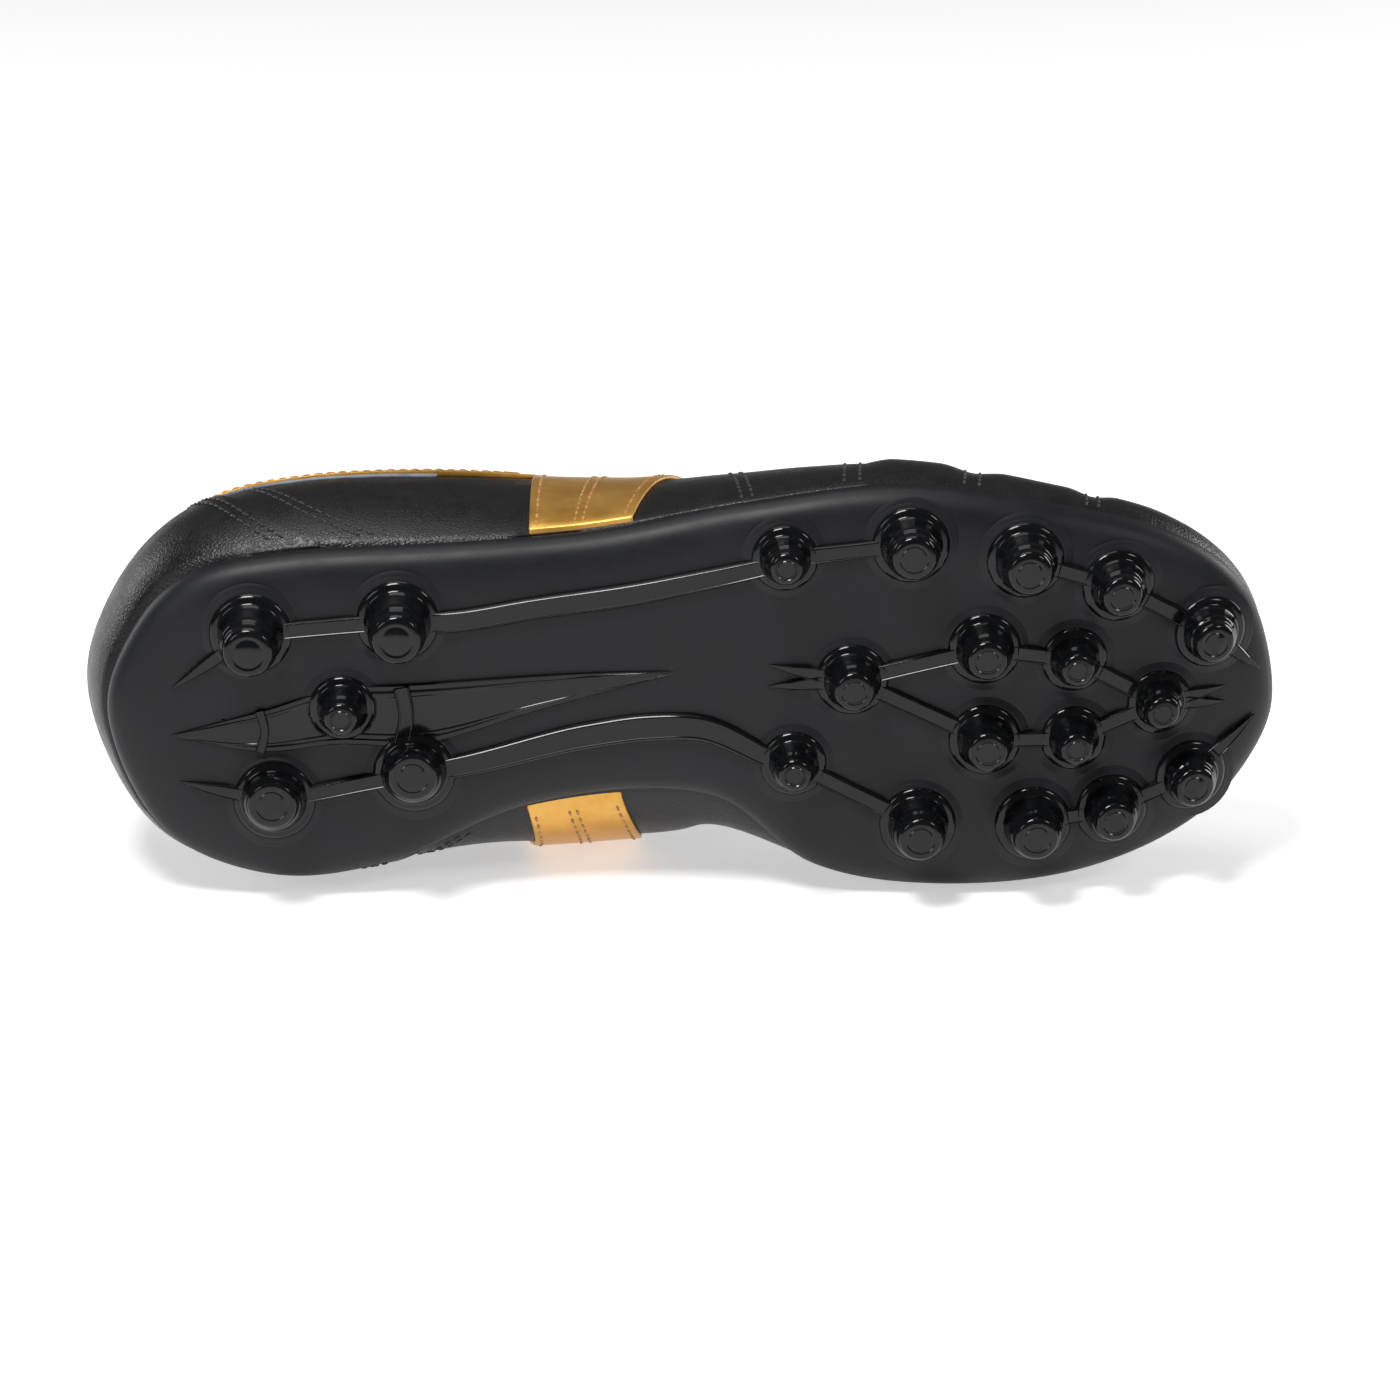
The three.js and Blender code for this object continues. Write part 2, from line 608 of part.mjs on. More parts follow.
const foamTop = -tongueSkin - layerGap;
const foamFloor = foamTop - tongueFoam;
const tongueFloor = foamFloor - layerGap;
const splitGap = 0.004;
add('tongue_skin', tongueSlab(0, foldAt - splitGap, -tongueSkin, 0), 'black');
add('tongue_foam', tongueSlab(0.04, foldAt - splitGap, foamFloor, foamTop), 'foam');
add('tongue_lining', tongueSlab(0, foldAt - splitGap, tongueFloor - tongueSkin, tongueFloor), 'lining');
add('tongue_top_skin', tongueSlab(foldAt, 1, -tongueSkin, 0), 'black');
add('tongue_top_foam', tongueSlab(foldAt, 0.96, foamFloor, foamTop), 'foam');
add('tongue_top_lining', tongueSlab(foldAt, 1, tongueFloor - tongueSkin, tongueFloor), 'lining');

// The origin is the middle of the footprint's bounding box, on the ground.
const bounds = new THREE.Box3().setFromObject(group);
const middle = bounds.getCenter(new THREE.Vector3());
group.children.forEach((piece) => {
  piece.geometry.translate(-middle.x, -middle.y, -bounds.min.z);
});

export default group;
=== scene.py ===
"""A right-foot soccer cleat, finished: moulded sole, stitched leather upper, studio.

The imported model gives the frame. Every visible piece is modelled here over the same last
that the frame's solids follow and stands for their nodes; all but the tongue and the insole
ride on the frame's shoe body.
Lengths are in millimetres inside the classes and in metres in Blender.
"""

from __future__ import annotations

import json
import logging
import math
from dataclasses import dataclass
from enum import Enum
from typing import Callable, Sequence

import bpy
import numpy as np
from mathutils import Matrix, Vector

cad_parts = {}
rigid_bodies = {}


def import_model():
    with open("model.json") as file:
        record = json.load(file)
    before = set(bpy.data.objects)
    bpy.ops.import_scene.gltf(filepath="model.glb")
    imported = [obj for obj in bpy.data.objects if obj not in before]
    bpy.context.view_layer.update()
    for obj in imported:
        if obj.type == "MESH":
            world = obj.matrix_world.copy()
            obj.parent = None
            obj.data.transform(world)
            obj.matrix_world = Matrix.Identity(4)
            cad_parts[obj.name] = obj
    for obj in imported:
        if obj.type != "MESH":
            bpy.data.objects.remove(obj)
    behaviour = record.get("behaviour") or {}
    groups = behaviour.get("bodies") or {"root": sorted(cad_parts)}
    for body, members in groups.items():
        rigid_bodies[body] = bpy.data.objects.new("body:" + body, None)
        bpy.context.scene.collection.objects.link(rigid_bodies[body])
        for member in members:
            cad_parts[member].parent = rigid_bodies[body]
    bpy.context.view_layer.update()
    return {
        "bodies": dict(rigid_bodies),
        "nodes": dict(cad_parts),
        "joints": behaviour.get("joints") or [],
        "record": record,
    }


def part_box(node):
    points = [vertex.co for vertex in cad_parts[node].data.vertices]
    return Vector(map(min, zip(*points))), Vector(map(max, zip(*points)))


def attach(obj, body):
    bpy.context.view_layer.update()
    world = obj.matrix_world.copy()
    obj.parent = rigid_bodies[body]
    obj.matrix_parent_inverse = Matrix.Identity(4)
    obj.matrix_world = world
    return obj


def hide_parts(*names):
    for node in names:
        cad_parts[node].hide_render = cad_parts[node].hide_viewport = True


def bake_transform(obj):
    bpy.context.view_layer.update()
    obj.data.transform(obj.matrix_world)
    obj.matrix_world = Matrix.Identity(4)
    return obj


log = logging.getLogger("cleat")
MM = 0.001
Array = np.ndarray


class Body(Enum):
    """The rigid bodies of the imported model."""

    SHOE = "shoe"
    TONGUE_TOP = "tongue_top"
    SOCK_REAR = "sock_rear"


class Side(Enum):
    """The two sides of a right shoe, by their sign along Y."""

    LATERAL = -1
    MEDIAL = 1

    @property
    def label(self) -> str:
        """The side's name in node names."""
        return self.name.lower()


# ---- small helpers --------------------------------------------------------------------


def smooth(low: float, high: float, value: Array | float) -> Array:
    """Eased step from 0 at low to 1 at high.

    Args:
        low: Value where the step starts.
        high: Value where it ends.
        value: Where to read the step.

    Returns:
        The eased share, between 0 and 1.
    """
    share = np.clip((np.asarray(value, float) - low) / (high - low), 0.0, 1.0)
    return share * share * (3.0 - 2.0 * share)


def spline(stops: Sequence[float], values: Sequence[float], at: Array) -> Array:
    """Reads a smooth curve through a few values.

    Args:
        stops: Rising positions of the values.
        values: The values.
        at: Positions to read.

    Returns:
        The curve's values.
    """
    stops_a, values_a = np.asarray(stops, float), np.asarray(values, float)
    at = np.clip(np.asarray(at, float), stops_a[0], stops_a[-1])
    slopes = np.gradient(values_a, stops_a)
    i = np.clip(np.searchsorted(stops_a, at, side="right") - 1, 0, len(stops_a) - 2)
    h = stops_a[i + 1] - stops_a[i]
    t = (at - stops_a[i]) / h
    rise = 3 * t**2 - 2 * t**3
    return (
        values_a[i] * (1 - rise)
        + values_a[i + 1] * rise
        + h * slopes[i] * (t**3 - 2 * t**2 + t)
        + h * slopes[i + 1] * (t**3 - t**2)
    )


def select_only(piece: bpy.types.Object) -> None:
    """Selects one object and makes it active.

    Args:
        piece: The object.
    """
    bpy.ops.object.select_all(action="DESELECT")
    piece.select_set(True)
    bpy.context.view_layer.objects.active = piece


def coords(piece: bpy.types.Object) -> Array:
    """Reads a mesh's vertex places.

    Args:
        piece: The object.

    Returns:
        One row for each vertex, in metres.
    """
    flat = np.empty(len(piece.data.vertices) * 3)
    piece.data.vertices.foreach_get("co", flat)
    return flat.reshape(-1, 3)


def set_coords(piece: bpy.types.Object, places: Array) -> None:
    """Writes a mesh's vertex places, in metres."""
    piece.data.vertices.foreach_set("co", np.asarray(places, float).ravel())
    piece.data.update()


def modify(piece: bpy.types.Object, kind: str, **settings: object) -> None:
    """Adds one modifier and applies it.

    Args:
        piece: The object to change.
        kind: Blender's modifier type.
        settings: Its settings.
    """
    select_only(piece)
    modifier = piece.modifiers.new(kind.lower(), kind)
    for key, value in settings.items():
        setattr(modifier, key, value)
    bpy.ops.object.modifier_apply(modifier=modifier.name)


def weld(piece: bpy.types.Object, reach: float = 0.02, outwards: bool = False) -> None:
    """Merges doubled points and, if asked, turns the faces outwards.

    Args:
        piece: The object to change.
        reach: Merge distance in millimetres.
        outwards: Whether to recalculate the normals.
    """
    select_only(piece)
    bpy.ops.object.mode_set(mode="EDIT")
    bpy.ops.mesh.select_all(action="SELECT")
    bpy.ops.mesh.remove_doubles(threshold=reach * MM)
    if outwards:
        bpy.ops.mesh.normals_make_consistent(inside=False)
    bpy.ops.object.mode_set(mode="OBJECT")


def smooth_shade(piece: bpy.types.Object, angle: float = 40.0) -> None:
    """Shades a piece smooth except over edges sharper than an angle in degrees."""
    select_only(piece)
    bpy.ops.object.shade_smooth_by_angle(angle=math.radians(angle))


def grid_piece(name: str, columns: int, rows: int) -> tuple[bpy.types.Object, Array, Array]:
    """Adds a flat grid whose points are then laid on a surface.

    Args:
        name: Name of the piece.
        columns: Faces along the grid.
        rows: Faces across it.

    Returns:
        The object, and each point's share along and across the grid.
    """
    bpy.ops.object.select_all(action="DESELECT")
    bpy.ops.mesh.primitive_grid_add(x_subdivisions=columns, y_subdivisions=rows, size=1.0)
    piece = bpy.context.object
    piece.name = piece.data.name = name
    flat = coords(piece)
    return piece, flat[:, 0] + 0.5, flat[:, 1] + 0.5


def turned_piece(
    name: str, profile: Sequence[tuple[float, float]], around: int,
) -> bpy.types.Object:
    """Turns a profile about +Z: a circle is extruded and resized point by point.

    Args:
        name: Name of the piece.
        profile: Radius and height of each point, in millimetres, from the base.
        around: Points round the circle.

    Returns:
        The object, standing on the origin's axis, with its last ring filled in.
    """
    bpy.ops.object.select_all(action="DESELECT")
    radius, height = profile[0]
    bpy.ops.mesh.primitive_circle_add(
        vertices=around, radius=radius * MM, location=(0, 0, height * MM))
    piece = bpy.context.object
    piece.name = piece.data.name = name
    bpy.ops.object.transform_apply(location=True, rotation=True, scale=True)
    bpy.ops.object.mode_set(mode="EDIT")
    bpy.ops.mesh.select_all(action="SELECT")
    for wide, high in profile[1:]:
        step = (0, 0, (high - height) * MM)
        bpy.ops.mesh.extrude_region_move(TRANSFORM_OT_translate={"value": step})
        share = wide / radius
        bpy.ops.transform.resize(value=(share, share, 1), center_override=(0, 0, high * MM))
        radius, height = wide, high
    bpy.ops.mesh.edge_face_add()
    bpy.ops.mesh.select_all(action="SELECT")
    bpy.ops.mesh.normals_make_consistent(inside=False)
    bpy.ops.object.mode_set(mode="OBJECT")
    return piece


def copy_of(master: bpy.types.Object, places: Array, name: str = "") -> bpy.types.Object:
    """Copies a master, with a mesh of its own.

    Args:
        master: The modelled original.
        places: Where the copy's points go, in metres.
        name: Name of the copy, or nothing to keep the master's with a number.

    Returns:
        The copy.
    """
    copy = master.copy()
    copy.data = master.data.copy()
    if name:
        copy.name = copy.data.name = name
    bpy.context.collection.objects.link(copy)
    set_coords(copy, places)
    return copy


def row_of(share: Array, rows: int) -> Array:
    """Whole row numbers of a grid's points, from their share across it."""
    return np.rint(share * rows).astype(int)


def unit(vectors: Array) -> Array:
    """Vectors at length one, along the last axis."""
    return vectors / np.linalg.norm(vectors, axis=-1, keepdims=True)


def join(name: str, parts: Sequence[bpy.types.Object]) -> bpy.types.Object:
    """Joins several objects into one.

    Args:
        name: Name of the result.
        parts: The objects; the first one stays.

    Returns:
        The joined object.
    """
    bpy.ops.object.select_all(action="DESELECT")
    for part in parts:
        part.select_set(True)
    bpy.context.view_layer.objects.active = parts[0]
    bpy.ops.object.join()
    parts[0].name = parts[0].data.name = name
    return parts[0]


# ---- finishes -------------------------------------------------------------------------


def linear(colour: str) -> tuple[float, float, float, float]:
    """Turns an sRGB hex colour into linear RGBA.

    Args:
        colour: Six hex digits after a hash sign.

    Returns:
        The linear colour with full alpha.
    """
    parts = [int(colour[i : i + 2], 16) / 255 for i in (1, 3, 5)]
    red, green, blue = (p / 12.92 if p <= 0.04045 else ((p + 0.055) / 1.055) ** 2.4 for p in parts)
    return (red, green, blue, 1.0)


def add_node(
    tree: bpy.types.NodeTree, kind: str, links: dict | None = None, **settings: object,
) -> bpy.types.Node:
    """Adds one node with its settings and links.

    Args:
        tree: The material's node tree.
        kind: Blender's node type.
        links: Input name or index to an output socket, or to a plain value.
        settings: Attributes of the node.

    Returns:
        The node.
    """
    node = tree.nodes.new(kind)
    for key, value in settings.items():
        setattr(node, key, value)
    for socket, source in (links or {}).items():
        if isinstance(source, bpy.types.NodeSocket):
            tree.links.new(source, node.inputs[socket])
        else:
            node.inputs[socket].default_value = source
    return node


@dataclass(frozen=True)
class Finish:
    """One surface: its colours, gloss and the two patterns that break it up.

    grain is the bump's cell size and mottle the colour patches' size, in millimetres.
    """

    name: str
    dark: str
    light: str
    roughness: float
    rough_spread: float
    grain: float
    grain_depth: float
    mottle: float
    metallic: float = 0.0
    coat: float = 0.0
    sheen: float = 0.0
    cells: bool = False
    ior: float = 1.5

    def make(self) -> bpy.types.Material:
        """Builds the material, once.

        Returns:
            The material, from the file if it is there already.
        """
        known = bpy.data.materials.get(self.name)
        if known:
            return known
        material = bpy.data.materials.new(self.name)
        material.use_nodes = True
        tree = material.node_tree
        shader = tree.nodes["Principled BSDF"]
        where = add_node(tree, "ShaderNodeTexCoord").outputs["Object"]
        patches = add_node(
            tree, "ShaderNodeTexNoise",
            {"Vector": where, "Scale": 1 / (self.mottle * MM), "Detail": 4.0, "Roughness": 0.6},
        )
        ramp = add_node(tree, "ShaderNodeValToRGB", {"Fac": patches.outputs["Fac"]})
        ramp.color_ramp.elements[0].position = 0.35
        ramp.color_ramp.elements[0].color = linear(self.dark)
        ramp.color_ramp.elements[1].position = 0.68
        ramp.color_ramp.elements[1].color = linear(self.light)
        tree.links.new(ramp.outputs["Color"], shader.inputs["Base Color"])
        gloss = add_node(
            tree, "ShaderNodeMapRange",
            {"Value": patches.outputs["Fac"], "From Min": 0.3, "From Max": 0.7,
             "To Min": self.roughness - self.rough_spread,
             "To Max": self.roughness + self.rough_spread},
        )
        tree.links.new(gloss.outputs["Result"], shader.inputs["Roughness"])
        tree.links.new(self._bump(tree, where), shader.inputs["Normal"])
        shader.inputs["Metallic"].default_value = self.metallic
        if not self.metallic:
            shader.inputs["IOR"].default_value = self.ior
        shader.inputs["Coat Weight"].default_value = self.coat
        shader.inputs["Coat Roughness"].default_value = 0.12
        shader.inputs["Sheen Weight"].default_value = self.sheen
        shader.inputs["Sheen Roughness"].default_value = 0.4
        return material

    def _bump(self, tree: bpy.types.NodeTree, where: bpy.types.NodeSocket) -> bpy.types.NodeSocket:
        """Adds the grain.

        Args:
            tree: The material's node tree.
            where: The place that the pattern is read at.

        Returns:
            The bumped normal.
        """
        size = 1 / (self.grain * MM)
        if self.cells:
            pebbles = add_node(
                tree, "ShaderNodeTexVoronoi",
                {"Vector": where, "Scale": size, "Randomness": 1.0},
                feature="DISTANCE_TO_EDGE",
            )
            rounded = add_node(
                tree, "ShaderNodeMapRange",
                {"Value": pebbles.outputs["Distance"], "From Min": 0.0, "From Max": 0.35,
                 "To Min": 0.0, "To Max": 1.0},
                interpolation_type="SMOOTHSTEP",
            )
            height = rounded.outputs["Result"]
        else:
            height = add_node(
                tree, "ShaderNodeTexNoise",
                {"Vector": where, "Scale": size, "Detail": 3.0, "Roughness": 0.55},
            ).outputs["Fac"]
        bump = add_node(
            tree, "ShaderNodeBump",
            {"Height": height, "Strength": 0.6, "Distance": self.grain_depth * MM},
        )
        return bump.outputs["Normal"]


def paint(piece: bpy.types.Object, finish: Finish, angle: float) -> None:
    """Gives a piece its material, and smooth shading up to an angle.

    Args:
        piece: The piece.
        finish: Its finish.
        angle: Edges sharper than this stay sharp, in degrees.
    """
    piece.data.materials.clear()
    piece.data.materials.append(finish.make())
    smooth_shade(piece, angle)


def dress(
    piece: bpy.types.Object, finish: Finish, angle: float, nodes: Sequence[str] = (),
) -> bpy.types.Object:
    """Paints a rigid piece, hides the frame's nodes that it stands for and fixes it to the shoe's
    body.

    Args:
        piece: The piece.
        finish: Its finish.
        angle: Edges sharper than this stay sharp, in degrees.
        nodes: The frame's nodes that it stands for.

    Returns:
        The piece.
    """
    paint(piece, finish, angle)
    if nodes:
        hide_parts(*nodes)
    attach(piece, Body.SHOE.value)
    return piece


# Moulded TPU with a spark-eroded texture: soft, even, slightly blue black.
PLATE = Finish("tpu_satin_moulded", "#111214", "#151619", 0.46, 0.05, 0.5, 0.05, 14.0, ior=1.34)
# The same polymer from polished cavities: near mirror gloss, deep black.
GLOSS = Finish("tpu_polished_moulded", "#08090A", "#0D0E10", 0.12, 0.03, 3.0, 0.02, 9.0, ior=1.36)
# Full-grain calf, drum-dyed black: fine pebbles, soft uneven gloss.
BLACK_LEATHER = Finish(
    "calf_leather_black", "#0D0D0F", "#131315", 0.38, 0.06, 0.9, 0.09, 6.0, cells=True, ior=1.38)
# Foil-coated split leather: metallic gold, almost smooth.
GOLD_LEATHER = Finish(
    "foil_leather_gold", "#C6923F", "#D6A452", 0.34, 0.05, 0.8, 0.05, 9.0, metallic=0.72)
# Bonded polyester thread, waxed.
BLACK_THREAD = Finish(
    "polyester_thread_black", "#0E0E10", "#1A1A1D", 0.55, 0.08, 0.3, 0.05, 2.0, sheen=0.2)
GOLD_THREAD = Finish(
    "polyester_thread_gold", "#8A5B22", "#C28A45", 0.5, 0.08, 0.3, 0.05, 2.0, sheen=0.2)
# Brushed knit lining over foam: matte, blue grey.
KNIT = Finish(
    "brushed_knit_lining", "#2B2D33", "#3E4148", 0.85, 0.06, 0.6, 0.12, 3.0, sheen=0.35, cells=True)
# Painted sheen: a light blue-grey satin strip that stands in for the light lying on the black
# leather under the gold trim.
PAINTED_SHEEN = Finish("painted_sheen_grey", "#5E646F", "#7F8692", 0.45, 0.06, 0.5, 0.05, 4.0, sheen=0.2)
EVA = Finish("eva_foam", "#3A3B40", "#4A4B50", 0.8, 0.05, 0.8, 0.1, 5.0)
BOARD = Finish("cellulose_board", "#A8977A", "#C2B293", 0.85, 0.05, 0.6, 0.06, 6.0)
STEEL = Finish("rolled_steel", "#8A8D92", "#A5A8AC", 0.32, 0.06, 0.8, 0.02, 12.0, metallic=1.0)


# ---- the last -------------------------------------------------------------------------


@dataclass
class Last:
    """The shape that the upper is pulled over, and the sole's outline under it.

    Stations run round the sole: 0 at the heel's back, along the little-toe side to the toe
    tip, and back along the big-toe side. Shares run up the wall from the sole to the top.
    """

    plate_top: float = 20.0
    stud_height: float = 12.5
    edge_inset: float = 3.8
    centre_offset: float = -0.5
    centre_slope: float = -0.024
    foot_clear: float = 0.5
    toe_spring: float = 14.0
    spring_start: float = 72.0
    waist_rise: float = 1.6
    waist_x: float = -22.0
    waist_reach: float = 24.0
    collar_height: float = 84.0
    instep_height: float = 90.0
    toe_box_height: float = 53.5
    instep_share: float = 0.96
    toe_share: float = 0.637
    sole_length: float = 283.0
    sole_width: float = 101.0
    outline: tuple = (
        (-0.502, 0.03), (-0.481, -0.18), (-0.431, -0.327), (-0.346, -0.381), (-0.212, -0.401),
        (-0.088, -0.426), (0.035, -0.495), (0.170, -0.540), (0.300, -0.490), (0.403, -0.406),
        (0.470, -0.257), (0.498, -0.03), (0.489, 0.138), (0.433, 0.316), (0.331, 0.430),
        (0.205, 0.460), (0.099, 0.406), (0.007, 0.228), (-0.141, 0.252), (-0.265, 0.396),
        (-0.367, 0.426), (-0.459, 0.307),
    )
    top_line: tuple = (
        (-0.481, 0, 1), (-0.456, 15, 0.98), (-0.399, 26, 0.925), (-0.311, 31, 0.88),
        (-0.195, 30, 0.9), (-0.085, 18, 1.06), (0.035, 0, 1.035), (0.163, 0, 0.89),
        (0.283, 0, 0.75), (0.357, 0, 0.676), (0.394, 0, 0.644), (0.410, 0, 0.637),
    )
    flare_lateral: tuple = (0, 3, 6.5, 8.5, 9, 5.5, 0, 0, 0, 0, 0, 0)
    bulge_lateral: tuple = (6.5, 7.5, 8, 8.5, 6.5, 4.5, 4, 3.5, 3, 3, 2.5, 2)
    bulge_medial: tuple = (6.5, 5.5, 3, 5, 18, 22, 6, 3, 3, 3, 2.5, 2)
    domed: tuple = (0, 0, 0, 0.05, 0.3, 0.75, 1, 1, 1, 1, 1, 1)

    def __post_init__(self) -> None:
        """Lays the tables round the ring and finds where the frame's plate stands."""
        self.count = len(self.outline)
        self.toe = self.count // 2
        ring = [k if k <= self.toe else self.count - k for k in range(self.count)]
        medial = [k > self.toe for k in range(self.count)]
        self.plan = np.array(self.outline) * [self.sole_length, self.sole_width]
        self.top_x = np.array([self.top_line[k][0] for k in ring]) * self.sole_length
        self.top_half = np.array([
            self.top_line[k][1] if m else -self.top_line[k][1] - self.flare_lateral[k]
            for k, m in zip(ring, medial)
        ], float)
        self.top_share = np.array([self.top_line[k][2] for k in ring], float)
        self.dome = np.array([self.domed[k] for k in ring], float)
        self.bulge = np.array([
            (self.bulge_medial if m else self.bulge_lateral)[k] for k, m in zip(ring, medial)
        ], float)
        low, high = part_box("outsole_plate")
        edge = self.edge(np.linspace(0, self.count, 2000))
        self.shift = np.array([
            (low[k] + high[k]) / MM / 2 - (edge[:, k].min() + edge[:, k].max()) / 2 for k in (0, 1)
        ] + [0.0])

    def ring_value(self, table: Array, u: Array) -> Array:
        """Reads a ring table with a smooth closed curve.

        Args:
            table: One value for each station.
            u: Stations to read.

        Returns:
            The values.
        """
        i = np.floor(u).astype(int)
        t = u - i
        p0, p1, p2, p3 = (table[(i + k) % self.count] for k in (-1, 0, 1, 2))
        return 0.5 * (
            2 * p1 + (p2 - p0) * t + (2 * p0 - 5 * p1 + 4 * p2 - p3) * t**2
            + (3 * p1 - p0 - 3 * p2 + p3) * t**3
        )

    def edge(self, u: Array) -> Array:
        """The sole's outline from above at stations u."""
        return np.stack([self.ring_value(self.plan[:, k], u) for k in (0, 1)], axis=-1)

    def outward(self, u: Array) -> Array:
        """The outline's outward direction.

        Args:
            u: Stations.

        Returns:
            The unit directions.
        """
        along = unit(self.edge(u + 0.05) - self.edge(u - 0.05))
        return np.stack([along[..., 1], -along[..., 0]], axis=-1)

    def spring(self, x: Array) -> Array:
        """How far the sole rises at the toe and the waist.

        Args:
            x: Places along the shoe, in millimetres.

        Returns:
            The rises, in millimetres.
        """
        rise = np.maximum(0, (x - self.spring_start) / (self.sole_length / 2 - self.spring_start))
        waist = np.exp(-(((x - self.waist_x) / self.waist_reach) ** 2))
        return self.toe_spring * rise**2 + self.waist_rise * waist

    def centre_y(self, x: Array) -> Array:
        """The foot's centre line."""
        return self.centre_offset + self.centre_slope * x

    def station(self, u: Array) -> Array:
        """Stations counted from the heel on either side."""
        return self.toe - np.abs(np.mod(u, self.count) - self.toe)

    def point(self, u: Array, v: Array) -> Array:
        """Points of the last before the sole's rise is added.

        Args:
            u: Stations.
            v: Shares of the wall's height.

        Returns:
            The points, in millimetres.
        """
        u, v = np.broadcast_arrays(np.asarray(u, float), np.asarray(v, float))
        station = self.station(u)
        side = np.where(np.mod(u, self.count) > self.toe, 1.0, -1.0)
        out = self.outward(u)
        foot = self.edge(u) - out * self.edge_inset
        top_x = self.ring_value(self.top_x, u)
        half = np.maximum(0, side * self.ring_value(self.top_half, u))
        share = self.ring_value(self.top_share, u)
        front = np.where(
            station < 7,
            share * self.instep_height * self.instep_share,
            share * self.toe_box_height / self.toe_share,
        )
        blend = smooth(5, self.toe, station)
        top_z = share * self.collar_height * (1 - blend) + front * blend
        k = np.clip(self.ring_value(self.dome, u), 0, 1)
        lean = (1 - k) * v**2 + k * (1 - np.cos(v * np.pi / 2))
        rise = (1 - k) * v + k * np.sin(v * np.pi / 2)
        swell = self.ring_value(self.bulge, u) * np.sin(np.pi * np.clip(v, 0, 1) ** 0.75)
        low = self.plate_top + self.foot_clear
        top_y = self.centre_y(top_x) + side * half
        return np.stack([
            foot[..., 0] * (1 - lean) + top_x * lean + out[..., 0] * swell,
            foot[..., 1] * (1 - lean) + top_y * lean + out[..., 1] * swell,
            low + (top_z - low) * rise,
        ], axis=-1)

    def normal(self, u: Array, v: Array) -> Array:
        """Outward normals of the last.

        Args:
            u: Stations.
            v: Shares of the wall's height.

        Returns:
            The unit normals.
        """
        u, v = np.broadcast_arrays(np.asarray(u, float), np.asarray(v, float))
        low = np.minimum(v, 0.99)
        along = self.point(u + 0.04, low) - self.point(u - 0.04, low)
        up = self.point(u, low + 0.01) - self.point(u, np.maximum(0, low - 0.01))
        return unit(np.cross(along, up))

    def skin(self, u: Array, v: Array, depth: Array) -> Array:
        """Points at a distance from the last, in the row's frame, in metres.

        Args:
            u: Stations.
            v: Shares of the wall's height.
            depth: Distance outwards, in millimetres.

        Returns:
            The points.
        """
        u, v, depth = np.broadcast_arrays(u, v, depth)
        normal = self.normal(u, v)
        normal[..., 2] *= smooth(0, 0.25, v)
        place = self.point(u, v) + unit(normal) * np.asarray(depth, float)[..., None]
        place[..., 2] += self.spring(place[..., 0]) * (1 - np.clip(v, 0, 1))
        return (place + self.shift) * MM

    def place(self, x: Array, y: Array, z: Array) -> Array:
        """Turns shoe millimetres into the row's metres; the sole's rise is added to z."""
        x, y, z = (np.asarray(a, float) for a in np.broadcast_arrays(x, y, z))
        return (np.stack([x, y, z + self.spring(x)], axis=-1) + self.shift) * MM

    def fold(self, side: Side, station: Array) -> Array:
        """Ring stations for stations counted from the heel on one side."""
        return station if side is Side.LATERAL else self.count - np.asarray(station, float)

    def mirrored(self, u: Array) -> Array:
        """The stations across the sole from stations u."""
        return np.mod(self.count - u, self.count)

    def share_beside(self, u: Array, half: float) -> Array:
        """Highest share whose point keeps at least half from the centre line.

        Args:
            u: Ring stations.
            half: Distance from the centre line, in millimetres.

        Returns:
            The shares.
        """
        u = np.asarray(u, float)
        shares = np.linspace(0.3, 1, 400)
        grid = self.point(u[..., None], shares)
        off = np.abs(grid[..., 1] - self.centre_y(grid[..., 0]))
        inside = off >= half
        last = inside.shape[-1] - 1 - np.argmax(inside[..., ::-1], axis=-1)
        return np.where(self.station(u) < 4, 1.0, shares[last])


# ---- the moulded sole -----------------------------------------------------------------


@dataclass(frozen=True)
class StudSize:
    """One moulded stud: radius of its face, height below the plate, points round it."""

    name: str
    face: float
    height: float
    flare: float = 3.2
    ring_wall: float = 1.1
    ring_rise: float = 1.5
    around: int = 40
    waist_share: float = 0.36

    @property
    def root(self) -> float:
        """Radius of the stud where it meets its ring."""
        return self.face + self.flare

    def profile(self) -> list[tuple[float, float]]:
        """The stud's turned outline, from under the plate's face to the embossed tip.

        Returns:
            Radius and height of each point.
        """
        t, r, h, w, rise = self.face, self.root, self.height, self.ring_wall, self.ring_rise
        ring = [
            (r + w + 0.3, -0.5), (r + w + 0.2, 0.1), (r + w, 0.7), (r + w * 0.6, rise - 0.25),
            (r + 0.1, rise), (r - 0.45, rise + 0.02), (r - 0.85, rise + 0.25),
            (r - 1.2, rise + 0.9),
        ]
        shaft = [
            (t + 1.62, h * self.waist_share), (t + 1.45, h * 0.5), (t + 1.36, h - 4.2),
            (t + 1.2, h - 3.75), (t + 0.75, h - 3.35), (t + 0.6, h - 3.0), (t + 0.52, h - 1.5),
            (t + 0.36, h - 0.85), (t + 0.02, h - 0.35), (t - 0.5, h - 0.05),
        ]
        emboss = [(t * 0.72, h), (t * 0.67, h - 0.16), (t * 0.6, h - 0.16), (t * 0.55, h), (0.4, h)]
        return ring + shaft + emboss

    def boss(self) -> list[tuple[float, float]]:
        """The low mound that the stud stands on, as a turned outline.

        Returns:
            Radius and height of each point.
        """
        steps = ((3.5, -0.3), (3.0, -0.02), (2.5, 0.12), (2.0, 0.3), (1.5, 0.6), (-1.0, 0.6))
        return [(self.root + wide, high) for wide, high in steps]


@dataclass(frozen=True)
class StudSite:
    """Where one stud stands, in shares of the sole, and how far its tip leans."""

    name: str
    at: tuple[float, float]
    size: StudSize
    lean: float = 0.0


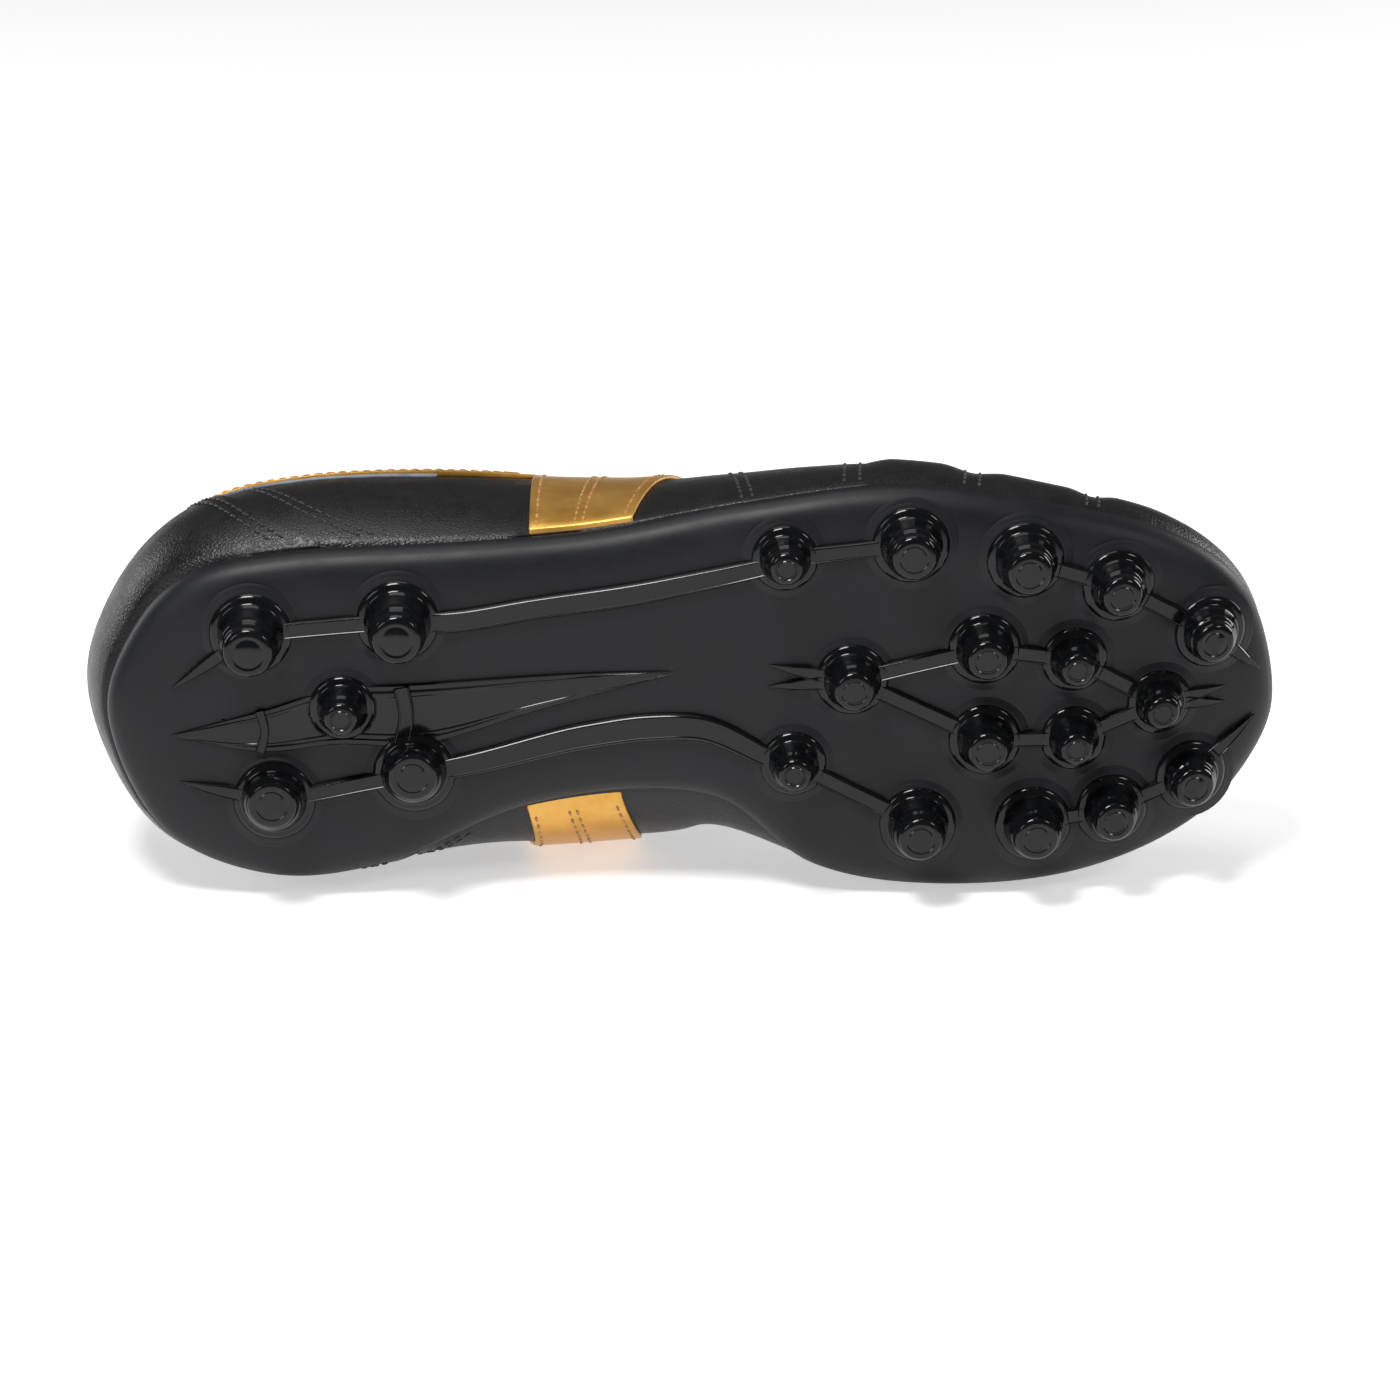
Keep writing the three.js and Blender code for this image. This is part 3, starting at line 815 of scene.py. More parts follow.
HEEL = StudSize("heel", 5.6, 12.5)
BALL = StudSize("ball", 5.0, 12.5)
MIDDLE = StudSize("middle", 4.5, 10.8)
SMALL = StudSize("small", 3.7, 10.2)
SIZES = (HEEL, BALL, MIDDLE, SMALL)
STUDS = tuple(StudSite(*row) for row in (
    ("heel_lateral_rear", (-0.378, -0.200), HEEL, 1.4),
    ("heel_lateral_front", (-0.254, -0.230), HEEL, 1.4),
    ("heel_centre", (-0.302, -0.015), SMALL),
    ("heel_medial_rear", (-0.361, 0.218), HEEL, -3),
    ("heel_medial_front", (-0.242, 0.150), HEEL, -3),
    ("lateral_1", (0.072, -0.380), SMALL),
    ("lateral_2", (0.178, -0.412), BALL),
    ("lateral_3", (0.275, -0.373), BALL),
    ("lateral_4", (0.355, -0.303), MIDDLE),
    ("lateral_5", (0.437, -0.172), MIDDLE),
    ("centre_1", (0.130, -0.080), MIDDLE),
    ("centre_2", (0.242, -0.155), MIDDLE),
    ("centre_3", (0.319, -0.125), SMALL),
    ("centre_4", (0.244, 0.072), MIDDLE),
    ("centre_5", (0.320, 0.072), SMALL),
    ("centre_6", (0.394, -0.006), SMALL),
    ("medial_1", (0.081, 0.130), SMALL),
    ("medial_2", (0.188, 0.285), BALL),
    ("medial_3", (0.287, 0.285), BALL),
    ("medial_4", (0.355, 0.257), MIDDLE),
    ("medial_5", (0.424, 0.186), MIDDLE),
))


@dataclass
class Outsole:
    """The moulded plate with its ribs and studs."""

    last: Last
    rib_width: float = 4.8
    rib_rise: float = 1.6
    half_way: float = 30.0
    spine: float = 99.0
    widest: float = 18.0

    def build(self) -> list[bpy.types.Object]:
        """Builds every piece of the sole.

        Returns:
            The pieces.
        """
        pieces = [self.mould_plate(), self.mould_ribs()]
        return pieces + self.mould_studs()

    def mould_plate(self) -> bpy.types.Object:
        """Lays a closed sheet over the plate's section, all round the outline.

        Returns:
            The plate.
        """
        last, top, under = self.last, self.last.plate_top, self.last.stud_height
        # Distance in from the outline, and height; half_way and spine stand for places inside.
        section = np.array([
            (self.spine, top), (self.half_way, top), (9.0, top), (1.2, top), (0.35, top - 0.1),
            (0.0, top - 0.6), (0.1, top - 1.9), (0.6, 16.4), (1.8, 15.0), (3.6, 13.9), (6.0, 13.2),
            (9.0, 12.75), (13.0, 12.52), (self.widest, under), (self.half_way, under),
            (self.spine, under),
        ])
        piece, s, r = grid_piece("outsole_plate_skin", 264, len(section) - 1)
        inset, height = section[row_of(r, len(section) - 1)].T
        u = s * last.count
        edge = last.edge(u)
        spine = (edge + last.edge(last.mirrored(u))) / 2 * [0.74, 1.0]
        rim = edge - last.outward(u) * np.minimum(inset, self.widest)[:, None]
        share = np.select([inset > self.half_way, inset > self.widest], [1.0, 0.5], 0.0)[:, None]
        flat = rim * (1 - share) + spine * share
        set_coords(piece, last.place(flat[:, 0], flat[:, 1], height))
        weld(piece, outwards=True)
        return dress(piece, PLATE, 35, ["outsole_plate"])

    def sweep_bar(
        self, name: str, path: Sequence[tuple[float, float]], widths: Sequence[float],
        steps: int, rise: float,
    ) -> bpy.types.Object:
        """Sweeps a chamfered bar along a smooth path on the plate's underside.

        Args:
            name: Name of the bar.
            path: Stops in shares of the sole.
            widths: Width at each stop, in millimetres.
            steps: Faces along the bar.
            rise: How far it stands out of the plate.

        Returns:
            The closed bar.
        """
        last = self.last
        stops = np.array(path) * [last.sole_length, last.sole_width]
        legs = np.linalg.norm(np.diff(stops, axis=0), axis=1)
        gone = np.concatenate([[0], np.cumsum(legs)])
        flank = [(-1.0, 0.5), (-1.0, 0.0), (-0.97, -0.35), (-0.92, -0.65), (-0.84, -0.88),
                 (-0.77, -0.98), (-0.71, -1.0), (-0.66, -0.94), (-0.63, -0.8)]
        other = [(-across, up) for across, up in reversed(flank)]
        section = np.array([(0, 0.5), *flank, *other, (0, 0.5)])
        bar, s, r = grid_piece(name, steps, len(section) - 1)
        at = s * gone[-1]

        def read(where: Array) -> Array:
            """Points of the path's middle line."""
            return np.stack([spline(gone, stops[:, k], where) for k in (0, 1)], axis=-1)

        ahead = unit(read(at + 0.3) - read(at - 0.3))
        beside = np.stack([-ahead[:, 1], ahead[:, 0]], axis=-1)
        across, up = section[row_of(r, len(section) - 1)].T
        half = spline(gone, widths, at) / 2
        end = np.where((s < 1e-6) | (s > 1 - 1e-6), 0.02, 1.0)
        flat = read(at) + beside * (across * half * end)[:, None]
        depth = up * np.where(up < 0, rise * np.minimum(1, half / 1.2), 1.0)
        set_coords(bar, last.place(flat[:, 0], flat[:, 1], last.stud_height + depth * end))
        weld(bar, 0.03, outwards=True)
        return bar

    def mould_ribs(self) -> bpy.types.Object:
        """Links the studs with ribs, and lays the lens and the pointed ends.

        Returns:
            All the ribs as one piece.
        """
        site = {s.name: s.at for s in STUDS}
        w = self.rib_width
        bars: list[bpy.types.Object] = []

        def bar(
            path: Sequence[tuple[float, float]], widths: Sequence[float], steps: int = 24,
        ) -> None:
            """Adds one rib."""
            bars.append(self.sweep_bar(f"rib_{len(bars)}", path, widths, steps, self.rib_rise))

        for a, b in (
            ("heel_lateral_rear", "heel_lateral_front"), ("heel_medial_rear", "heel_medial_front"),
            ("lateral_1", "lateral_2"), ("lateral_3", "lateral_4"), ("lateral_4", "lateral_5"),
            ("centre_1", "centre_2"), ("centre_2", "centre_3"), ("centre_3", "centre_6"),
            ("centre_1", "centre_4"), ("centre_4", "centre_5"), ("centre_5", "centre_6"),
            ("medial_1", "medial_2"), ("medial_3", "medial_4"), ("medial_4", "medial_5"),
        ):
            middle = tuple((np.array(site[a]) + site[b]) / 2)
            bar([site[a], middle, site[b]], [w, w * 0.92, w])
        for a, tip in (
            ("heel_lateral_rear", (-0.447, -0.060)), ("heel_medial_rear", (-0.442, 0.170)),
            ("lateral_5", (0.484, -0.060)), ("medial_5", (0.481, 0.050)),
            ("centre_1", (0.058, -0.115)), ("centre_1", (0.057, -0.060)),
            ("centre_6", (0.454, -0.030)), ("centre_6", (0.454, 0.010)),
        ):
            middle = tuple(np.array(site[a]) * 0.45 + np.array(tip) * 0.55)
            bar([site[a], middle, tip], [w, w * 0.7, 0.25])
        for start, path, wider in (
            ("heel_lateral_front",
             [(-0.2197, -0.2256), (-0.14, -0.2555), (-0.0562, -0.288), (0.002, -0.324),
              (0.060, -0.362)],
             [0.6, 0.9, 1.0, 1.1, 0.6, 0]),
            ("heel_medial_front",
             [(-0.2129, 0.138), (-0.092, 0.0627), (-0.039, 0.0426), (0.0017, 0.0426),
              (0.0613, 0.118)],
             [0.6, 1.0, 2.2, 2.4, 2.0, 0.6]),
        ):
            bar([site[start], *path], [w + more for more in wider], 84)
        self._lens(bars)
        return dress(join("outsole_ribs", bars), GLOSS, 22)

    def _lens(self, bars: list[bpy.types.Object]) -> None:
        """Adds the heel's long lens: a polished floor, two edge beads and two cross ridges.

        Args:
            bars: The list that the bars are added to.
        """
        stops = [(-0.4487, 0.055), (-0.368, 0.043), (-0.305, 0.0075), (-0.248, 0.005),
                 (-0.14, -0.044), (-0.0204, -0.095)]
        widths = [0.5, 9.7, 13.2, 14.4, 8.2, 0.8]
        beads = [0.5, 1.5, 1.6, 1.7, 1.6, 0.6]
        length, width = self.last.sole_length, self.last.sole_width
        bars.append(self.sweep_bar("lens_floor", stops, widths, 72, 0.75))
        for side in (-1, 1):
            edge = [(x, y + side * (w / 2 - 0.3) / width) for (x, y), w in zip(stops, widths)]
            bars.append(self.sweep_bar(f"lens_edge_{side}", edge, beads, 72, 1.5))
        for (x, y), half, wide in ((stops[1], 5.6, 2.6), (stops[3], 7.6, 4.4)):
            rear = x - 1.2 / length
            across = [(rear, y - half / width), (x, y), (rear, y + half / width)]
            profile = [wide, wide * 0.9, wide]
            bars.append(self.sweep_bar(f"lens_ridge_{x}", across, profile, 24, 1.6))

    def mould_studs(self) -> list[bpy.types.Object]:
        """Turns one stud and one boss of each size, and stands a copy at each place.

        Returns:
            The studs, and all the bosses as one piece.
        """
        last = self.last
        masters = {
            kind: {
                size.name: turned_piece(f"{kind}_master_{size.name}", outline(size), size.around)
                for size in SIZES
            }
            for kind, outline in (("stud", StudSize.profile), ("boss", StudSize.boss))
        }
        copies: dict[str, list[bpy.types.Object]] = {"stud": [], "boss": []}
        for site in STUDS:
            for kind, sizes in masters.items():
                master = sizes[site.size.name]
                across, beside, down = (coords(master) / MM).T
                tilt = site.lean * np.maximum(0, down) / last.stud_height
                x = site.at[0] * last.sole_length + across
                y = site.at[1] * last.sole_width - beside + tilt
                places = last.place(x, y, last.stud_height - down)
                copy = copy_of(master, places, f"{kind}_{site.name}_moulded")
                if kind == "stud":
                    dress(copy, GLOSS, 32, [f"stud_{site.name}"])
                copies[kind].append(copy)
        for sizes in masters.values():
            for master in sizes.values():
                bpy.data.objects.remove(master, do_unlink=True)
        boss = dress(join("outsole_bosses", copies["boss"]), PLATE, 32)
        return [*copies["stud"], boss]


# ---- the stitched upper ---------------------------------------------------------------

Curve = Callable[[Array], Array]


@dataclass
class Upper:
    """The stitched shell: leather panels, bands, trims, linings, thread."""

    last: Last
    throat_half: float = 12.5
    under: float = 1.8
    leather: float = 1.4
    over: float = 3.15
    overlay: float = 1.15
    lining: float = 0.9
    foot: float = -0.015
    puff_lines: tuple = (6.75, 7.45, 8.3)
    seam_lines: tuple = (6.7, 7.45, 8.3)
    seam_lean: float = 0.18
    stay: float = 15.0
    stitch: tuple = (0.75, 0.6, 0.22)

    def __post_init__(self) -> None:
        """Starts the lists of stitches by thread."""
        self.stitches: dict[str, list[Array]] = {"black": [], "gold": []}

    @property
    def wall_face(self) -> float:
        """Distance of the main leather's face from the last."""
        return self.under + self.leather

    @property
    def overlay_face(self) -> float:
        """Distance of an overlay's face from the last."""
        return self.over + self.overlay

    def throat(self, u: Array, off: float = 0.0) -> Array:
        """Top share of a wall: the collar line, or a line beside the throat ahead of it."""
        return self.last.share_beside(u, self.throat_half + off)

    def creases(self, u: Array, v: Array) -> Array:
        """Height of the soft folds and puckers in the leather.

        Args:
            u: Ring stations.
            v: Shares up the wall.

        Returns:
            The heights, in millimetres.
        """
        station = self.last.station(u)
        slow = np.sin(2.1 * station + 5.3 * v) * np.sin(6.7 * v - 1.1 * station)
        fine = np.sin(9.5 * station + 3.0 * np.sin(7 * v))
        fine = fine * np.sin(11 * v + 2.0 * np.sin(3 * station))
        return (0.2 * slow + 0.05 * fine) * np.sin(np.pi * np.clip(v, 0, 1))

    def seams(self, station: Array, v: Array) -> Array:
        """How the vamp puffs between its cross seams.

        Args:
            station: Stations from the heel.
            v: Shares up the wall.

        Returns:
            The heights, in millimetres.
        """
        lines = np.array(self.puff_lines) + self.seam_lean * v[..., None]
        gap = np.min(np.abs(station[..., None] - lines), axis=-1)
        fades = smooth(0.02, 0.3, v) * (1 - smooth(8.7, 10.6, station))
        return 1.4 * smooth(-0.02, 0.21, gap) * fades

    def across(self, station: Array, r: Array, depth: Array) -> Array:
        """Points of a panel that runs from feather edge to feather edge over the ridge.

        Args:
            station: Stations from the heel.
            r: Share across, 0 on the lateral edge and 1 on the medial one.
            depth: Distance from the last, in millimetres.

        Returns:
            The points, in metres.
        """
        v = (1 - self.foot) * (1 - np.abs(1 - 2 * r)) + self.foot
        far = self.last.count - station - 1e-9
        level = smooth(0.55, 1.0, v)[:, None]
        places = []
        for here, there in ((station, far), (far, station)):
            base = self.last.skin(here, v, 0.0)
            away = (self.last.skin(here, v, 1.0) - base) / MM
            middle = away + (self.last.skin(there, v, 1.0) - self.last.skin(there, v, 0.0)) / MM
            away = unit(away * (1 - level) + unit(middle) * level)
            places.append(base + away * np.asarray(depth)[:, None] * MM)
        share = smooth(0.49, 0.51, r)[:, None]
        return places[0] * (1 - share) + places[1] * share

    def finish_panel(
        self, piece: bpy.types.Object, thickness: float, finish: Finish,
        nodes: Sequence[str] = (), bevel: float = 0.35,
    ) -> bpy.types.Object:
        """Thickens a laid sheet inwards, rounds its cut edges and dresses it.

        Args:
            piece: The sheet, its faces outwards.
            thickness: Thickness in millimetres.
            finish: The sheet's finish.
            nodes: The frame's nodes that it stands for.
            bevel: Rounding of the cut edges, in millimetres.

        Returns:
            The panel.
        """
        modify(piece, "SOLIDIFY", thickness=thickness * MM, offset=-1.0, use_even_offset=False)
        if bevel:
            cut = math.radians(55)
            modify(
                piece, "BEVEL", width=bevel * MM, segments=2, limit_method="ANGLE",
                angle_limit=cut)
        return dress(piece, finish, 50, nodes)

    def wall_panel(
        self, name: str, side: Side, start: float, end: Curve | float, low: Curve, high: Curve,
        depth: float, columns: int, rows: int, crease: float = 1.0,
    ) -> bpy.types.Object:
        """Lays a panel on one wall between four edges.

        Args:
            name: Name of the panel.
            side: The shoe's side.
            start: Rear station.
            end: Front station, or a function of the share up the panel.
            low: Lower share at ring stations.
            high: Upper share at ring stations.
            depth: Distance of its outer face from the last.
            columns: Faces along it.
            rows: Faces up it.
            crease: Share of the leather's folds that it follows.

        Returns:
            The sheet.
        """
        piece, s, r = grid_piece(name, columns, rows)
        if side is Side.MEDIAL:
            s = 1 - s
        front = end(r) if callable(end) else end
        u = self.last.fold(side, start * (1 - s) + front * s)
        v = low(u) * (1 - r) + high(u) * r
        set_coords(piece, self.last.skin(u, v, depth + crease * self.creases(u, v)))
        return piece

    def sew(self, thread: str, u: Array, v: Array, depth: float, pitch: float = 3.0) -> None:
        """Marks a row of stitches along a line on the leather.

        Args:
            thread: Colour of the thread.
            u: Ring stations along the line.
            v: Shares along it.
            depth: Distance of the leather's face from the last.
            pitch: Distance from stitch to stitch, in millimetres.
        """
        u, v = np.asarray(u, float), np.asarray(v, float)
        station = self.last.station(u)
        puff = np.where(station > self.quarter_end(v), self.seams(station, v), 0)
        line = self.last.skin(u, v, depth + self.creases(u, v) + puff + 0.12)
        away = self.last.normal(u, v)
        gone = np.concatenate([[0], np.cumsum(np.linalg.norm(np.diff(line, axis=0), axis=1))]) / MM
        count = int(gone[-1] // pitch)
        for k in range(count):
            a, b = (k + 0.12) * pitch, (k + 0.88) * pitch
            ends = [np.array([np.interp(t, gone, line[:, i]) for i in range(3)]) for t in (a, b)]
            up = np.array([np.interp((a + b) / 2, gone, away[:, i]) for i in range(3)])
            self.stitches[thread].append(np.array([*ends, up]))

    def sew_everything(self) -> list[bpy.types.Object]:
        """Models one stitch and lays copies of it along every marked row.

        Returns:
            One object for each thread.
        """
        sewn = []
        wide, high, sag = (size * MM for size in self.stitch)
        for thread, finish in (("black", BLACK_THREAD), ("gold", GOLD_THREAD)):
            bpy.ops.object.select_all(action="DESELECT")
            bpy.ops.mesh.primitive_uv_sphere_add(
                segments=6, ring_count=5, radius=0.5, rotation=(0, math.pi / 2, 0))
            master = bpy.context.object
            bpy.ops.object.transform_apply(location=True, rotation=True, scale=True)
            shape = coords(master)
            shape[:, 0] = np.sign(shape[:, 0]) * np.abs(shape[:, 0] * 2) ** 0.8 / 2
            set_coords(master, shape)
            along, across, up = (shape[:, k : k + 1] for k in range(3))
            lift = up * high - sag * (2 * np.abs(along)) ** 2
            copies = []
            for a, b, leather in self.stitches[thread]:
                ahead = unit(b - a)
                beside = unit(np.cross(leather, ahead))
                away = np.cross(ahead, beside)
                run = along * np.linalg.norm(b - a)
                places = (a + b) / 2 + run * ahead + across * wide * beside + lift * away
                copies.append(copy_of(master, places))
            bpy.data.objects.remove(master, do_unlink=True)
            row = join(f"stitching_{thread}", copies)
            sewn.append(dress(row, finish, 60))
        return sewn

    # -- panels --

    def cut_vamp(self) -> bpy.types.Object:
        """Lays the forefoot panel, puffed between its cross seams and closed round the toe.

        Returns:
            The panel.
        """
        piece, s, r = grid_piece("vamp_leather", 120, 96)
        v = 1 - np.abs(1 - 2 * r)
        rear = 6.68 + self.seam_lean * v
        station = rear + s * (self.last.toe - rear)
        tuck = -1.1 * (1 - smooth(rear + 0.03, rear + 0.12, station))
        folds = self.creases(station, v) * 0.8 * (1 - smooth(10, 10.8, station))
        depth = self.wall_face + tuck + self.seams(station, v) + folds
        set_coords(piece, self.across(station, r, depth))
        weld(piece)
        self.ease_toe(piece)
        return self.finish_panel(
            piece, self.leather, BLACK_LEATHER,
            ["vamp", "vamp_lining", "toe_puff"], 0.0)

    def ease_toe(self, piece: bpy.types.Object) -> None:
        """Relaxes the vamp where its ridge runs out over the toes.

        Args:
            piece: The vamp's sheet, before it is thickened.
        """
        end = self.last.skin(np.array([float(self.last.toe)]), np.array([1.0]), self.wall_face)[0]
        away = np.linalg.norm(coords(piece) - end, axis=1) / MM
        group = piece.vertex_groups.new(name="toe_cap")
        for index, weight in enumerate(1 - smooth(8.0, 20.0, away)):
            if weight > 0:
                group.add([index], float(weight), "REPLACE")
        modify(piece, "SMOOTH", factor=0.5, iterations=30, vertex_group=group.name)

    def line_vamp(self) -> bpy.types.Object:
        """Lays the forefoot's knit lining, just inside the leather.

        Returns:
            The lining.
        """
        piece, s, r = grid_piece("vamp_lining_knit", 60, 48)
        station = 6.7 + s * (self.last.toe - 6.7)
        set_coords(piece, self.across(station, r, np.full_like(r, 1.3)))
        weld(piece)
        return self.finish_panel(piece, self.lining, KNIT, bevel=0.0)

    @staticmethod
    def quarter_end(v: Array) -> Array:
        """Front stations of the quarters at shares up the wall."""
        return 6.8 + 0.17 * v

    def cut_quarter(self, side: Side) -> list[bpy.types.Object]:
        """Lays one side's wall panel with its lining.

        Args:
            side: The shoe's side.

        Returns:
            The panel and the lining.
        """
        def low(u: Array) -> Array:
            """Lower edge, under the feather line."""
            return np.full_like(u, self.foot)

        label = side.label
        hidden = ["heel_counter"] if side is Side.LATERAL else []
        wall = self.wall_panel(
            f"quarter_{label}_leather", side, 0.0, self.quarter_end, low, self.throat,
            self.wall_face, 110, 40)
        lining = self.wall_panel(
            f"quarter_lining_{label}_knit", side, 0.0, 6.9, low, self.throat, 0.6, 90, 34, 0.0)
        return [
            self.finish_panel(
                wall, self.leather, BLACK_LEATHER, [f"quarter_{label}", *hidden]),
            self.finish_panel(
                lining, self.lining, KNIT, [f"quarter_lining_{label}"], 0.2),
        ]

    def pad_collar(self, side: Side) -> bpy.types.Object:
        """Lays the stuffed roll inside the collar: full below the edge, stitched flat at it.

        Args:
            side: The shoe's side.

        Returns:
            The padded roll.
        """
        piece, s, r = grid_piece(f"collar_pad_{side.label}", 80, 28)
        front = 5.0
        station = (1 - s if side is Side.LATERAL else s) * front
        u = self.last.fold(side, station)
        v = 0.5 + (self.throat(u) - 0.5) * r
        ends = (1 - smooth(0.86, 1.0, r)) * (1 - smooth(4.1, front, station))
        body = smooth(0.0, 0.45, r) * ends
        ripple = 0.35 * np.sin(station * 8.5) * body
        set_coords(piece, self.last.skin(u, v, -0.45 - 4.2 * body - ripple))
        weld(piece)
        nodes = ["collar_foam", "heel_lining"] if side is Side.LATERAL else []
        piece = self.finish_panel(piece, 0.6, KNIT, nodes, 0.0)
        return piece

    def bind_collar(self) -> bpy.types.Object:
        """Rolls the top line: a soft bead that closes leather, foam and lining.

        Returns:
            The bead.
        """
        last = self.last
        piece, s, r = grid_piece("collar_binding", 260, 12)
        front, heel_roll, throat_roll = 6.55, 1.75, 1.5
        ring = np.where(s < 0.5, (1 - 2 * s) * front, last.count - (2 * s - 1) * front)
        u = np.mod(ring, last.count)

        def line(step: float) -> Array:
            """Points of the collar's edge, a step along the ring."""
            here = np.mod(u + step, last.count)
            return last.skin(u + step, self.throat(here), heel_roll)

        away = last.normal(u, np.minimum(self.throat(u), 0.98))
        up = unit(np.cross(unit(line(0.02) - line(-0.02)), away))
        up[up[:, 2] < 0] *= -1
        turn = (r * 2 * np.pi)[:, None]
        scale = np.where(last.station(u) < 5, 1.0, throat_roll / heel_roll)[:, None]
        bead = away * np.cos(turn) * 1.65 + up * np.sin(turn) * 1.15
        set_coords(piece, line(0.0) + bead * MM * scale)
        weld(piece, outwards=True)
        return dress(piece, BLACK_LEATHER, 60)

    def cut_foxing(self) -> bpy.types.Object:
        """Lays the heel's backing, with two double-stitched seams that fall to the sole.

        Returns:
            The backing.
        """
        last = self.last
        piece, s, r = grid_piece("heel_foxing_leather", 110, 30)
        u = np.mod(-3.22 + 6.44 * s, last.count)
        v = self.foot + r * (0.02 + self._foxing_top(last.station(u)))
        set_coords(piece, last.skin(u, v, self.overlay_face + self.creases(u, v) - 0.1))
        for gap in (0.06, 0.15):
            station = np.linspace(-3.05 + gap, 3.05 - gap, 500)
            top = self._foxing_top(np.abs(station) + gap) - 0.02 - gap * 0.12
            for half in (station < 0, station >= 0):
                self.sew("black", np.mod(station[half], last.count), top[half], self.overlay_face)
        for side in Side:
            for gap in (0.0, 0.09):
                station = np.linspace(2.2, 3.6, 200) - gap
                top = 0.02 + 0.8 * (1 - smooth(1.95, 3.75, station + gap))
                self.sew("black", last.fold(side, station), top, self.wall_face)
        return self.finish_panel(
            piece, self.overlay, BLACK_LEATHER, ["heel_foxing"])

    @staticmethod
    def _foxing_top(station: Array) -> Array:
        """Upper share of the heel's backing at stations from the heel."""
        return 0.8 * (1 - smooth(1.6, 3.32, station))

    def cut_band(self, side: Side) -> list[bpy.types.Object]:
        """Lays the plain flared gold band, its stitching, and the trim to the heel.

        Args:
            side: The shoe's side.

        Returns:
            The band, the trim and a thin grey strip of painted sheen under the trim.
        """
        last, label, depth = self.last, side.label, self.overlay_face
        start, stop, lean = (4.55, 5.25, 0.72) if side is Side.LATERAL else (3.95, 4.48, 0.6)
        trim_depth = depth + 0.12

        def front(r: Array) -> Array:
            """Front edge: leans forward going up."""
            return stop + lean * r

        def foot(u: Array) -> Array:
            """Lower edge, under the feather line."""
            return np.full_like(u, -0.012)

        def top(u: Array) -> Array:
            """Upper edge, under the lace stay."""
            return self.throat(u, 8)

        def trim(off: float) -> Curve:
            """A line beside the trim's lower edge."""
            return lambda u: self._trim_low(last.station(u), start) + off

        sheets = (
            ("side_band", "_gold", start, front, foot, top, depth, 28, 34, [f"side_band_{label}"]),
            ("collar_trim", "_gold", 0.9, start + 0.04, trim(0.0),
             lambda u: self._trim_high(last.station(u)), trim_depth, 90, 6,
             [f"collar_trim_{label}"]),
            # A thin grey strip under the trim's lower edge paints the sheen of light on the leather
            # there.
            ("trim_painted_sheen", "", 1.5, start - 0.7, trim(-0.04), trim(0.01),
             self.over + self.overlay * 0.6, 60, 3, []),
        )
        pieces = []
        for kind, tail, rear, end, low, high, face, columns, rows, nodes in sheets:
            sheet = self.wall_panel(
                f"{kind}_{label}{tail}", side, rear, end, low, high, face, columns, rows)
            if nodes:
                sheet = self.finish_panel(sheet, self.overlay, GOLD_LEATHER, nodes)
            else:
                # The grey strip of painted sheen under the trim.
                sheet = self.finish_panel(sheet, self.lining, PAINTED_SHEEN)
            pieces.append(sheet)
        rise = np.linspace(0.03, 0.97, 200)
        for at in (0.07, 0.44, 0.52, 0.93):
            u = last.fold(side, start * (1 - at) + front(rise) * at)
            self.sew("gold", u, rise * top(u), depth)
        along = np.linspace(1.0, start - 0.1, 300)
        u = last.fold(side, along)
        self.sew("gold", u, self._trim_low(along, start) + 0.018, trim_depth)
        self.sew("gold", u, self._trim_high(along) - 0.018, trim_depth)
        return pieces

    @staticmethod
    def _trim_high(station: Array | float) -> Array:
        """Upper edge of the gold trim."""
        return 0.83 - 0.09 * smooth(0.8, 2.4, station)

    def _trim_low(self, station: Array, end: float) -> Array:
        """Lower edge of the gold trim: a point at the heel, wide where it meets the band.

        Args:
            station: Stations from the heel.
            end: Station where the band begins.

        Returns:
            The shares up the wall.
        """
        widening = 0.085 * smooth(0.7, 1.9, station)
        return self._trim_high(station) - widening - 0.06 * smooth(end - 0.6, end + 0.05, station)

    def cut_eyestay(self, side: Side) -> bpy.types.Object:
        """Lays the lace stay, stitched along both edges.

        Args:
            side: The shoe's side.

        Returns:
            The stay.
        """
        depth = self.overlay_face + 0.5
        piece = self.wall_panel(
            f"eyestay_{side.label}_leather", side, 4.9, 6.86,
            lambda u: self.throat(u, self.stay), self.throat, depth, 60, 14)
        u = self.last.fold(side, np.linspace(4.95, 6.82, 160))
        for off in (self.stay - 1.8, 1.8):
            self.sew("black", u, self.throat(u, off), depth, 2.8)
        return self.finish_panel(
            piece, self.overlay, BLACK_LEATHER, [f"eyestay_{side.label}"])

    def set_eyelets(self) -> bpy.types.Object:
        """Turns one rolled rim with a dark hole, and lays ten copies on the stays.

        Returns:
            All the rims as one piece.
        """
        last = self.last
        rim = [(3.1, -0.2), (3.1, 0.15), (2.8, 0.5), (2.35, 0.55), (2.0, 0.2), (1.9, -0.4),
               (0.6, -0.45)]
        master = turned_piece("eyelet_master", rim, 24)
        local = coords(master)
        copies = []
        for side in Side:
            for station in np.linspace(5.25, 6.6, 5):
                u = last.fold(side, np.array([station]))
                v = self.throat(u, self.stay * 0.45)
                base = last.skin(u, v, self.overlay_face + 0.55)[0]
                turn = Vector(last.normal(u, v)[0]).to_track_quat("Z", "Y").to_matrix()
                copies.append(copy_of(master, local @ np.array(turn).T + base))
        bpy.data.objects.remove(master, do_unlink=True)
        return dress(join("eyelet_rims", copies), GLOSS, 40)

